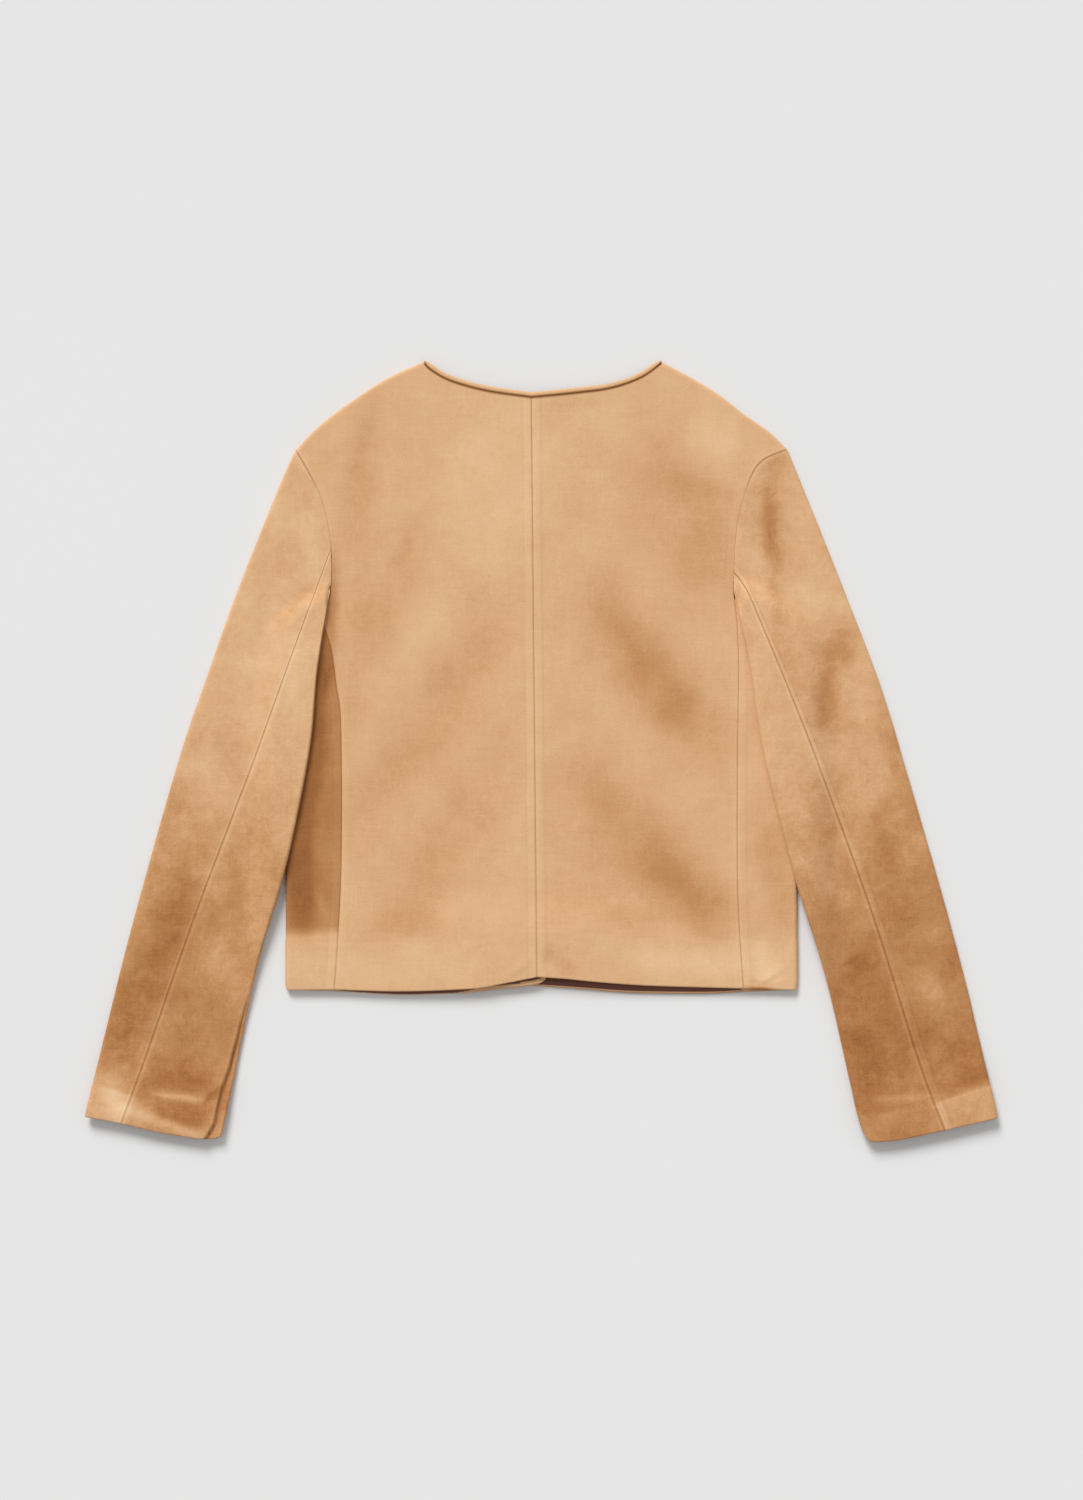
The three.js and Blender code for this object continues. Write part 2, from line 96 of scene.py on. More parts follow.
UNDER_WIDTH = 64.0  # of an under sleeve's upper layer
NECK_HALF_WIDTH = 108.0
# Shares of a length at which its parts meet.
HPS_SHARE = 0.45  # of a panel's top, at the neck point
SIDE_SHARE = 0.64  # of a panel's side, at the underarm
HEM_SHARE = HEM_BAND / SIDE_LENGTH * SIDE_SHARE  # of it, at the top of the turned-up hem
FRONT_SEAM_AT = 0.28  # of the front armhole, at the sleeve's hidden seam
NOISE_SEED = 128  # fixes the offsets of the noise, which the clock sets otherwise


class Edge(Enum):
    """How an edge of a panel is finished."""

    SEAM = "seam"
    HEM = "hem"
    CUFF = "cuff"
    RAW_FOLD = "fold"
    HIDDEN = "hidden"


@dataclass(frozen=True)
class Side:
    """Outlines of one half of the jacket, each from one end of the line to the other.

    Args:
        name: "left" or "right", as the jacket lies.
        sign: -1 on the left, 1 on the right.
        front_edge_x: where the front's centre edge lies.
        sleeve_start: where on the armhole the sleeve's inner fold starts.
        back_seam: where on the armhole the sleeve's seam starts.
        back_neck: from the centre back to the neck point.
        front_neck: from the front's edge to the neck point.
        shoulder: from the neck point to the shoulder point.
        back_armhole: from the side-back seam to the shoulder point.
        front_armhole: from the side-front seam to the shoulder point.
        side_back: the side panel's seam to the back, from the hem up.
        side_front: its seam to the front, from the hem up.
        outer: the sleeve's outer fold, from the shoulder point down.
        inner: its inner fold, from the armhole down.
        sleeve_seam: the seam on top of the sleeve, from the armhole down.
        cuff: the cuff's edge, from the outer fold to the inner one.
        back_hem: from the centre back to the side-back seam.
        front_hem: from the front's edge to the side-front seam.
    """

    name: str
    sign: int
    front_edge_x: float
    sleeve_start: float
    back_seam: float
    back_neck: Rows
    front_neck: Rows
    shoulder: Rows
    back_armhole: Rows
    front_armhole: Rows
    side_back: Rows
    side_front: Rows
    outer: Rows
    inner: Rows
    sleeve_seam: Rows
    cuff: Rows
    back_hem: Rows
    front_hem: Rows


LEFT = Side(
    name="left", sign=-1, front_edge_x=4, sleeve_start=0.135, back_seam=0.38,
    back_neck=[(-9, 318), (-50, 324), (-82, 333), (-100, 343), (-107, 350)],
    front_neck=[(4, 262), (-34, 268), (-66, 289), (-90, 320), (-107, 350)],
    shoulder=[(-107, 350), (-138, 336), (-163, 320), (-186, 304), (-205, 288), (-221, 271)],
    back_armhole=[(-197.5, 125.6), (-189.8, 145), (-189, 182), (-195, 218), (-205, 243), (-221, 271)],
    front_armhole=[(-197.5, 125.6), (-189.8, 145), (-183, 182), (-186, 218), (-200, 246), (-221, 271)],
    side_back=[
        (-186, -214), (-180, -110), (-180, 20), (-184, 58), (-189, 93), (-195.5, 112), (-197.5, 125.6),
    ],
    side_front=[(-181, -216), (-183, -60), (-189, 60), (-197.5, 125.6)],
    outer=[(-221, 271), (-235, 240), (-273, 145), (-302, 64), (-329, -17), (-374, -179), (-410, -328)],
    inner=[(-189.5, 145), (-201, 73), (-208, 1), (-230, -107), (-255, -192), (-278, -300), (-288, -346)],
    sleeve_seam=[(-189.3, 186), (-208, 134), (-256, 1), (-310, -143), (-355, -273), (-377, -334)],
    cuff=[(-410, -328), (-377, -334), (-343, -342), (-303, -348), (-288, -346)],
    back_hem=[(-7, -202.5), (-37, -208.5), (-64, -213), (-127, -215.5), (-186, -214)],
    front_hem=[(4, -204.5), (-6, -209.8), (-46, -214.8), (-70, -217.6), (-127, -219.4), (-181, -216.5)],
)
RIGHT = Side(
    name="right", sign=1, front_edge_x=-20, sleeve_start=0.045, back_seam=0.15,
    back_neck=[(-9, 318), (31, 322), (63, 326.5), (90, 336), (109.5, 349.5)],
    front_neck=[(-20, 262), (36, 268), (68, 289), (92, 320), (109.5, 349.5)],
    shoulder=[(109.5, 349.5), (135, 336), (161, 320), (181, 304), (204, 288), (221, 271.5)],
    back_armhole=[(173.6, 137), (172.8, 143.5), (174.2, 189), (180, 223), (195, 258), (221, 271.5)],
    front_armhole=[(173.6, 137), (172.8, 143.5), (168, 184), (172, 222), (190, 254), (221, 271.5)],
    side_back=[(181.5, -213), (176.5, -130), (176, -20), (177, 60), (176.5, 104), (173.6, 137)],
    side_front=[(180, -216.5), (181, -60), (178, 60), (173.6, 137)],
    outer=[(221, 271.5), (234, 240), (272, 145), (303, 64), (328, -17), (374, -179), (410, -329)],
    inner=[
        (172.8, 143.5), (176.6, 125), (188, 71), (199, -1), (226, -109), (256, -206), (281, -314),
        (289.5, -343),
    ],
    sleeve_seam=[(175, 160), (182, 151.5), (194, 127), (245, 1), (297, -143), (340, -281), (362, -340)],
    cuff=[(410, -329), (362, -340), (327, -347.6), (304, -350.4), (295, -349.6), (289.5, -343)],
    back_hem=[(-7, -202.5), (17, -204), (53, -207.5), (98, -210.5), (181.5, -213)],
    front_hem=[(-20, -210), (36, -214.5), (70, -217.6), (98, -218.8), (150, -219.4), (180, -218.0)],
)


@dataclass(frozen=True)
class Stroke:
    """A soft straight mark on the cloth, a crease or a patch of brushed nap.

    Args:
        start: one end, x and y.
        end: the other end, x and y.
        width: how far it reaches to each side.
        amount: height in millimetres for a crease, shade for nap.
    """

    start: tuple[float, float]
    end: tuple[float, float]
    width: float
    amount: float

    def at(self, x: float, y: float) -> float:
        """Returns the stroke's value at a plan point.

        Args:
            x: the point's x.
            y: the point's y.

        Returns:
            The amount in the middle of the stroke, fading to nothing around it.
        """
        dx, dy = self.end[0] - self.start[0], self.end[1] - self.start[1]
        length = max(math.hypot(dx, dy), 1e-6)
        x -= (self.start[0] + self.end[0]) / 2
        y -= (self.start[1] + self.end[1]) / 2
        along = (x * dx + y * dy) / length / (length / 2 + 0.6 * self.width)
        off = (x * dy - y * dx) / length / self.width
        if abs(off) > 3 or abs(along) > 2:
            return 0.0
        return self.amount * math.exp(-off * off - along**4)


@dataclass(frozen=True)
class Tuck:
    """A line where the cloth is folded over on itself, with a lower strip beyond it.

    Args:
        path: the folded edge, from one end to the other.
        drop: how far the strip on its left lies below the cloth on its right.
        reach: the widest that the strip gets.
    """

    path: Rows
    drop: float
    reach: float

    def at(self, x: float, y: float) -> tuple[float, float, float]:
        """Returns what the folded edge adds at a plan point.

        Args:
            x: the point's x.
            y: the point's y.

        Returns:
            The height, the strength of the painted shade line at the fold, and the painted shade and
            highlight in the nap.
        """
        nearest, right, place = 1e9, 0.0, 0.0
        for k, (a, b) in enumerate(zip(self.path, self.path[1:])):
            dx, dy = b[0] - a[0], b[1] - a[1]
            share = ((x - a[0]) * dx + (y - a[1]) * dy) / (dx * dx + dy * dy)
            share = min(1.0, max(0.0, share))
            off = math.hypot(x - a[0] - share * dx, y - a[1] - share * dy)
            if off < nearest:
                nearest, place = off, (k + share) / (len(self.path) - 1)
                right = math.copysign(off, (x - a[0]) * dy - (y - a[1]) * dx)
        if nearest > self.reach * 1.5:
            return 0.0, 0.0, 0.0
        fade = smoothstep(place, 0.0, 0.3) * (1 - smoothstep(place, 0.92, 1.0))
        fade *= 1 - smoothstep(nearest, self.reach, self.reach * 1.5)
        lip = 0.6 * math.exp(-(((right - 2.2) / 2.0) ** 2))
        under = smoothstep(-right, -0.4, 1.4)
        # Painted shade along the fold; then a darker strip under it and a painted highlight along the lip.
        line = 0.9 * math.exp(-(((right + 0.8) / 1.15) ** 2))
        nap = 0.12 * under - 0.4 * math.exp(-(((right - 1.8) / 1.3) ** 2))
        return (lip - self.drop * under) * fade, line * fade, nap * fade


# Shade of the nap, with some painted shade and painted highlights: more is darker. The body first, then each
# sleeve.
BODY_NAP_AND_PAINTED_LIGHT = [
    Stroke((-150, 305), (-176, 190), 14, 0.40),
    Stroke((-121, 199), (-160, 95), 25, 0.36),
    Stroke((-46, 105), (-170, -70), 27, 0.36),
    Stroke((-34, -12), (-140, -155), 30, 0.34),
    Stroke((-140, -148), (-100, -150), 14, 0.30),
    Stroke((106, 252), (152, 158), 42, 0.44),
    Stroke((120, 240), (170, 230), 12, 0.20),
    Stroke((56, 126), (158, 10), 27, 0.66),
    Stroke((40, -34), (158, -150), 36, 0.52),
    Stroke((90, -90), (150, -140), 28, 0.36),
    Stroke((20, -120), (80, -160), 16, 0.30),
    Stroke((-55, 253), (-20, 230), 55, -0.30),
    Stroke((143, 285), (165, 278), 22, -0.40),
    Stroke((-130, 215), (-150, 150), 9, -0.25),
    Stroke((-90, 130), (-120, 90), 18, -0.22),
    Stroke((-10, 60), (-8, -60), 16, -0.12),
    Stroke((-215, -195), (-85, -195), 17, -0.22),
    Stroke((90, -190), (215, -188), 17, -0.50),
    Stroke((-150, -178), (-80, -172), 7, -0.12),
    Stroke((6, -180), (28, -198), 7, 0.45),
    Stroke((84, 78), (112, 36), 24, 0.26),
    # Painted highlight on the crease ridge at the right hem corner, and painted shade in the trough beside
    # it.
    Stroke((188, -212), (214, -196), 2.6, -0.45),
    Stroke((184, -212), (207, -213.5), 1.8, 1.50),
    # Painted shadow on the back beside the left sleeve's edge, where the sleeve hangs over the armhole.
    Stroke((-187, 176), (-189, 100), 5.5, 0.85),
    # Painted shadow of the left sleeve on the strip out to the side seam, with darker nap there; the first
    # also paints shade in a crease trough.
    Stroke((-218, -100), (-214, -162), 14, 0.85),
    Stroke((-214, 30), (-226, -90), 19, 1.15),
    Stroke((-192, 96), (-206, 10), 8, 1.10),
    Stroke((-204, 0), (-222, -130), 9, 0.90),
    Stroke((-170, 70), (-172, 20), 12, 0.25),
    # Painted highlight on the crease ridge beside the left side strip.
    Stroke((-206, -118), (-188, -160), 5, -0.35),
    Stroke((196, -60), (222, -140), 14, 0.45),
    Stroke((196, -168), (206, -210), 9, -0.25),
]
LEFT_SLEEVE_NAP_AND_PAINTED_LIGHT = [
    # Painted shade on the left underarm slope, which faces the light.
    Stroke((-202, 149), (-234, 120), 6.5, 0.35),
    Stroke((-325, -119), (-368, -248), 20, 0.95),
    Stroke((-250, -60), (-285, -150), 24, 0.28),
    Stroke((-262, -150), (-318, -262), 30, 0.08),
    Stroke((-344, -292), (-304, -294), 11, 0.70),
    Stroke((-346, -319), (-305, -331), 8, 1.30),
    Stroke((-392, -296), (-378, -322), 16, -0.95),
    Stroke((-350, -307), (-303, -313), 3.0, -0.95),
    # Painted shade where the fold in the left cuff curls under.
    Stroke((-288, -303), (-302, -314), 2.6, 0.90),
    Stroke((-372, -321), (-308, -343), 5, -0.75),
    Stroke((-272, 75), (-262, 40), 14, -0.25),
    Stroke((-300, -4), (-312, -20), 16, -0.12),
    Stroke((-222, 90), (-226, 40), 9, -0.25),
    Stroke((-216, 206), (-204, 160), 8, -0.20),
    Stroke((-280, -148), (-296, -196), 7, -0.30),
]
RIGHT_SLEEVE_NAP_AND_PAINTED_LIGHT = [
    # These two paint shade along the crease trough that runs down from the right shoulder.
    Stroke((209, 262), (209, 175), 8, 0.55),
    Stroke((209, 205), (213, 100), 9, 0.50),
    Stroke((222, 90), (238, 25), 8, 0.25),
    Stroke((270, 106), (252, 26), 14, 0.80),
    Stroke((234, 155), (246, 118), 10, -0.30),
    Stroke((284, 12), (290, -10), 15, -0.10),
    Stroke((300, 60), (318, -10), 9, 0.25),
    Stroke((246, -30), (262, -90), 16, 0.30),
    Stroke((300, -60), (322, -110), 12, 0.35),
    Stroke((276, -170), (304, -285), 24, 0.66),
    Stroke((316, -120), (330, -210), 16, 0.25),
    Stroke((382, -262), (372, -290), 15, 0.65),
    Stroke((340, -200), (352, -240), 14, -0.35),
    Stroke((300, -312), (350, -310), 3.2, -0.75),
    Stroke((372, -304), (402, -298), 4, -0.40),
    Stroke((386, -316), (402, -322), 14, -0.15),
    Stroke((330, -150), (318, -190), 9, -0.20),
]

LEFT_CUFF_TUCK = Tuck(
    path=[
        (-258, -196), (-267.5, -232), (-275, -262), (-282, -288), (-287, -301), (-291, -318),
        (-294, -334), (-301, -346), (-312, -358),
    ],
    drop=2.6,
    reach=15,
)

# Creases: a height above the smooth cloth, less than nothing for a trough.
BODY_CREASES = [
    Stroke((188, -212), (216, -194), 3.0, 0.7),
    Stroke((192, -214), (220, -198), 2.2, -0.6),
    Stroke((182, -209), (206, -212), 2.4, -0.8),
    Stroke((184, -203), (204, -208), 2.6, 0.6),
    Stroke((-34, -206), (-6, -184), 3.0, 0.8),
    Stroke((-2, -208), (6, -182), 6.0, -0.9),
    Stroke((-120, 205), (-165, 95), 16, -0.5),
    Stroke((-46, 105), (-170, -70), 15, -0.5),
    Stroke((-34, -12), (-140, -155), 16, -0.4),
    Stroke((56, 126), (158, 10), 15, -0.7),
    Stroke((40, -34), (158, -150), 20, -0.6),
    Stroke((98, 262), (158, 136), 20, -0.5),
    Stroke((-155, 300), (-176, 196), 9, -0.6),
    Stroke((-206, -112), (-186, -160), 4, 0.5),
    Stroke((-216, -100), (-212, -160), 6, -0.5),
]
LEFT_SLEEVE_CREASES = [
    Stroke((-325, -119), (-366, -248), 12, -0.8),
    Stroke((-246, -60), (-280, -150), 12, -0.5),
    Stroke((-232, 180), (-246, 116), 8, -0.4),
    Stroke((-278, 40), (-262, -20), 9, 0.4),
    Stroke((-300, -200), (-270, -226), 8, 0.4),
    Stroke((-330, -262), (-296, -286), 9, -0.6),
    Stroke((-352, -314), (-306, -326), 5, -0.6),
]
RIGHT_SLEEVE_CREASES = [
    Stroke((209, 262), (209, 175), 6, -0.9),
    Stroke((212, 175), (236, 40), 6, -0.5),
    Stroke((270, 106), (252, 26), 8, -0.9),
    Stroke((288, 70), (310, 60), 5, 0.5),
    Stroke((300, -60), (322, -110), 9, -0.5),
    Stroke((330, -140), (300, -176), 8, 0.4),
    Stroke((276, -170), (304, -285), 14, -0.6),
    Stroke((340, -230), (380, -262), 9, 0.5),
    Stroke((382, -262), (360, -296), 8, -0.5),
]


# ---- Small helpers ----
def smoothstep(value: float, low: float, high: float) -> float:
    """Returns a soft 0 to 1.

    Args:
        value: the value to place.
        low: where the result starts to rise.
        high: where it is 1.

    Returns:
        The share of the way, eased at both ends.
    """
    share = min(1.0, max(0.0, (value - low) / (high - low)))
    return share * share * (3 - 2 * share)


def wander(x: float, y: float) -> tuple[float, float]:
    """Returns a plan point moved a little, so that a soft mark gets an uneven edge.

    Args:
        x: the point's x.
        y: the point's y.

    Returns:
        The moved x and y.
    """
    slow = noise.noise_vector(Vector((x * 0.011, y * 0.011, 1.7))) * 10
    quick = noise.noise_vector(Vector((x * 0.05, y * 0.05, 4.2))) * 3.5
    return x + slow.x + quick.x, y + slow.y + quick.y


def lerp(a: float, b: float, share: float) -> float:
    """Returns the value a share of the way from a to b."""
    return a + (b - a) * share


def through(rows: Rows) -> Curve:
    """Returns a smooth plan curve.

    Args:
        rows: the points it passes through, x and y.

    Returns:
        The curve, by share of its length.
    """
    points = [Vector(row) for row in rows]
    last = len(points) - 1

    def spot(t: float) -> Vector:
        """Returns a point of the spline.

        Args:
            t: the share of the rows, not of the length.

        Returns:
            The point.
        """
        place = last * t
        k = min(int(place), last)
        w = place - k
        a, b = points[max(k - 1, 0)], points[k]
        c = points[last if k > last - 1 else k + 1]
        d = points[last if k > last - 2 else k + 2]
        v0, v1 = (c - a) * 0.5, (d - b) * 0.5
        return (2 * b - 2 * c + v0 + v1) * w**3 + (-3 * b + 3 * c - 2 * v0 - v1) * w**2 + v0 * w + b

    steps = 160
    spots = [spot(i / steps) for i in range(steps + 1)]
    lengths = [0.0]
    for one, two in zip(spots, spots[1:]):
        lengths.append(lengths[-1] + (two - one).length)

    def at(share: float) -> Vector:
        """Returns a point of the curve.

        Args:
            share: the share of the curve's length.

        Returns:
            The point.
        """
        goal = min(1.0, max(0.0, share)) * lengths[-1]
        low, high = 0, steps
        while high - low > 1:
            middle = (low + high) // 2
            low, high = (middle, high) if lengths[middle] <= goal else (low, middle)
        part = (goal - lengths[low]) / max(lengths[high] - lengths[low], 1e-9)
        return spot((low + part) / steps)

    return at


def beside(curve: Curve, distance: float) -> Curve:
    """Returns a curve moved sideways.

    Args:
        curve: the curve to move.
        distance: how far, to its left where positive.

    Returns:
        The moved curve.
    """

    def at(share: float) -> Vector:
        """Returns the moved curve's point at a share of its length."""
        along = (curve(share + 0.002) - curve(share - 0.002)).normalized()
        return curve(share) + Vector((-along.y, along.x)) * distance

    return at


def joined(first: Curve, second: Curve, share: float) -> Curve:
    """Returns two curves end to end.

    Args:
        first: the first curve.
        second: the curve that goes on from it.
        share: the share of the whole that the first takes.

    Returns:
        The joined curve.
    """
    return lambda t: first(t / share) if t < share else second((t - share) / (1 - share))


def patch(low: Curve, high: Curve, near: Curve, far: Curve) -> Plan:
    """Returns the plan patch between four curves.

    Args:
        low: the edge at v = 0.
        high: the edge at v = 1.
        near: the edge at u = 0.
        far: the edge at u = 1.

    Returns:
        The patch, by u across and v along.
    """
    corner = [low(0), low(1), high(0), high(1)]

    def at(u: float, v: float) -> Vector:
        """Returns a point of the patch.

        Args:
            u: the share across.
            v: the share along.

        Returns:
            The point.
        """
        across = low(u).lerp(high(u), v)
        along = near(v).lerp(far(v), u)
        return across + along - corner[0].lerp(corner[1], u).lerp(corner[2].lerp(corner[3], u), v)

    return at


def distance_to(curve: Curve, samples: int = 60) -> Callable[[Vector], float]:
    """Returns a function that gives the shortest plan distance to a curve.

    Args:
        curve: the curve.
        samples: how many straight stretches stand for it.

    Returns:
        The function, of a plan point.
    """
    points = [curve(i / samples) for i in range(samples + 1)]

    def at(p: Vector) -> float:
        """Returns the distance from a point.

        Args:
            p: the point.

        Returns:
            The shortest distance to the curve.
        """
        nearest = 1e9
        for a, b in zip(points, points[1:]):
            side = b - a
            share = min(1.0, max(0.0, (p - a).dot(side) / side.length_squared))
            nearest = min(nearest, (a + side * share - p).length)
        return nearest

    return at


def spaced(length: float, pitch: float, fine_start: bool, fine_end: bool) -> list[float]:
    """Returns shares along a length, close together at the fine ends.

    Args:
        length: the whole length.
        pitch: the spacing away from a fine end.
        fine_start: whether the start is an edge that needs detail.
        fine_end: the same, for the end.

    Returns:
        The shares, from 0 to 1.
    """
    close = [0.0, 0.45, 0.9, 1.4, 2.0, 2.8, 3.8, 5.0, 6.2, 7.4, 9.0, 11.5]
    head = close if fine_start else [0.0]
    tail = [length - step for step in reversed(close)] if fine_end else [length]
    steps = max(1, round((tail[0] - head[-1]) / pitch))
    middle = [lerp(head[-1], tail[0], i / steps) for i in range(1, steps)]
    return [step / length for step in head + middle + tail]


# ---- Heights ----
def side_edge_x(y: float) -> float:
    """Returns how far out the body's side fold lies."""
    up = max(0.0, (y - SIDE_BEND_Y) / (UNDERARM_Y - SIDE_BEND_Y))
    return HALF_HEM - UNDERARM_IN * up**2


def underarm_y(side: Side, x: float) -> float:
    """Returns where in plan a side panel's top edge lies, at a distance out.

    Args:
        side: the half of the jacket.
        x: the distance out.

    Returns:
        The edge's y there.
    """
    seam_x, seam_y = side.side_back[-1]
    share = (abs(x) - abs(seam_x)) / (side_edge_x(UNDERARM_Y) - abs(seam_x))
    return lerp(seam_y, UNDERARM_Y, share)


def body_top(side: Side, p: Vector) -> float:
    """Returns the height of the body's upper face, clear of its folds.

    Args:
        side: the half of the jacket.
        p: the plan point.

    Returns:
        The height, arched over the lapped fronts and pressed down at the underarm.
    """
    hem = smoothstep(-p.y, 120, 166)
    crown = lerp(1.4, 4.4, hem) * math.exp(-(((p.x + 10) / lerp(70, 120, hem)) ** 2))
    near = smoothstep(40 - abs(underarm_y(side, p.x) - p.y), 0, 40)
    return lerp(LOFT + crown, 4.8, near * smoothstep(abs(p.x), 150, 188))


def lap_height(p: Vector) -> float:
    """Returns how far the left front is held up by the right one."""
    stack = lerp(CLOTH, DOUBLED, smoothstep(-p.y, 138, 166)) + FACING_CLOTH + 2 * LAYER_GAP
    return stack * smoothstep(p.x, -62, -26)


def ride(side: Side, p: Vector) -> float:
    """Returns how far a sleeve rides up on the body's side.

    Args:
        side: the half of the jacket.
        p: the plan point.

    Returns:
        1 where it lies on the body, and 0 beyond the body's reach.
    """
    out = abs(p.x) - side_edge_x(p.y)
    up = (p.y - underarm_y(side, p.x)) * 1.4
    clear = math.hypot(out, up) if out > 0 and up > 0 else max(out, up)
    return smoothstep(40 - clear, 0, 31)


def sleeve_heights(side: Side, p: Vector, v: float) -> tuple[float, float]:
    """Returns the heights of a sleeve's lower and upper faces.

    Args:
        side: the half of the jacket.
        p: the plan point.
        v: the share of the sleeve's length, 0 at the armhole.

    Returns:
        The lower height, then the upper one.
    """
    over = ride(side, p)
    cuff = smoothstep(v, 0.84, 1)
    low = (body_top(side, p) + 0.5) * over + CUFF_LIFT * cuff
    free = lerp(LOFT, 6.6, over) + cuff
    return low, low + max(3.0, lerp(body_top(side, p) - low, free, smoothstep(v, 0, 0.05)))


def armhole_firmness_and_shadow(side: Side, y: float) -> float:
    """Returns how sharply the armhole is pressed; where the left sleeve hangs over its low end, the extra
    deepens the groove and paints its shadow on the seam line.
    """
    under = 1 - smoothstep(y, 176, 190) if side.sign < 0 else 0.0
    return lerp(0.12, 1.3, smoothstep(y, 232, 250)) + 2.2 * under


def round_off(distance: float) -> float:
    """Returns how open a folded edge is, from 0 on it to 1 a fold's depth in."""
    return math.sqrt(max(0.0, 1 - (1 - min(1.0, distance / FOLD_DEPTH)) ** 2))


# ---- Finishes ----
def effect_group(
    name: str, outputs: Sequence[str], inputs: dict[str, float]
) -> tuple[bpy.types.NodeTree, bpy.types.Node, bpy.types.Node]:
    """Returns a new node group of float sockets.

    Args:
        name: the group's name.
        outputs: the outputs' names.
        inputs: the inputs' names and defaults.

    Returns:
        The group, its input node and its output node.
    """
    group = bpy.data.node_groups.new(name, "ShaderNodeTree")
    for title, value in inputs.items():
        socket = group.interface.new_socket(name=title, in_out="INPUT", socket_type="NodeSocketFloat")
        socket.default_value = value
    for title in outputs:
        group.interface.new_socket(name=title, in_out="OUTPUT", socket_type="NodeSocketFloat")
    return group, group.nodes.new("NodeGroupInput"), group.nodes.new("NodeGroupOutput")


def new_node(
    tree: bpy.types.NodeTree, kind: str, links: dict[str | int, Any] | None = None, **settings: Any
) -> bpy.types.Node:
    """Returns a new node with its settings made and its inputs linked or set.

    Args:
        tree: the node tree.
        kind: the node's type.
        links: input name or index to a socket, a number or a colour.
        settings: the node's own properties.

    Returns:
        The node.
    """
    made = tree.nodes.new(kind)
    for title, value in settings.items():
        setattr(made, title, value)
    for title, value in (links or {}).items():
        if isinstance(value, Socket):
            tree.links.new(value, made.inputs[title])
        else:
            made.inputs[title].default_value = value
    return made


def brushed_group() -> bpy.types.NodeTree:
    """Returns the group that gives a brushed cloth's look.

    Returns:
        The group, which puts out a shade and a fine height.
    """
    group, entry, leave = effect_group("brushed_nap", ("Shade", "Height"), {"Cloud": 0.3, "Grain": 0.2})
    place = new_node(group, "ShaderNodeTexCoord").outputs["Object"]

    def mottle(where: Socket, **values: float) -> Socket:
        """Returns a noise at a place, with its scale, detail and other values."""
        links = {title.capitalize(): value for title, value in values.items()}
        return new_node(group, "ShaderNodeTexNoise", {"Vector": where, **links}).outputs["Fac"]

    def threads(stretch: tuple[float, float, float]) -> Socket:
        """Returns threads that run one way, as a noise stretched along them."""
        lay = new_node(group, "ShaderNodeMapping", {"Vector": place, "Scale": stretch})
        return mottle(lay.outputs[0], scale=420.0, detail=2.0, roughness=0.6)

    def sum_of(kind: str, one: Socket, two: Socket | float) -> Socket:
        """Returns two values put together by a kind of sum."""
        return new_node(group, "ShaderNodeMath", {0: one, 1: two}, operation=kind).outputs[0]

    def centred(socket: Socket, scale: float) -> Socket:
        """Returns a noise moved to lie about nothing, and scaled."""
        return sum_of("MULTIPLY", sum_of("SUBTRACT", socket, 0.5), scale)

    slow = mottle(place, scale=26.0, detail=4.0, roughness=0.62)
    mid = mottle(place, scale=85.0, detail=5.0, roughness=0.66, distortion=0.9)
    fibre = mottle(place, scale=620.0, detail=3.0, roughness=0.7)
    across, along = threads((1.0, 0.12, 0.5)), threads((0.12, 1.0, 0.5))
    weave = new_node(group, "ShaderNodeMix", {0: 0.5, 2: across, 3: along}).outputs[0]
    clouds = sum_of("ADD", centred(slow, 1.6), centred(mid, 1.1))
    grains = sum_of("ADD", centred(fibre, 1.7), centred(weave, 1.1))
    clouds = sum_of("MULTIPLY", clouds, entry.outputs["Cloud"])
    grains = sum_of("MULTIPLY", grains, entry.outputs["Grain"])
    group.links.new(sum_of("ADD", clouds, grains), leave.inputs["Shade"])
    group.links.new(sum_of("ADD", fibre, weave), leave.inputs["Height"])
    return group


# Brown of the dark seam lines, also used for painted shade lines: in grooves, under a fold, beside the neck
# rim and where the left sleeve hangs over the armhole.
SEAM_AND_SHADE_BROWN = (0.24, 0.078, 0.017, 1)
SHEEN_TINT = (1.0, 0.86, 0.68, 1)


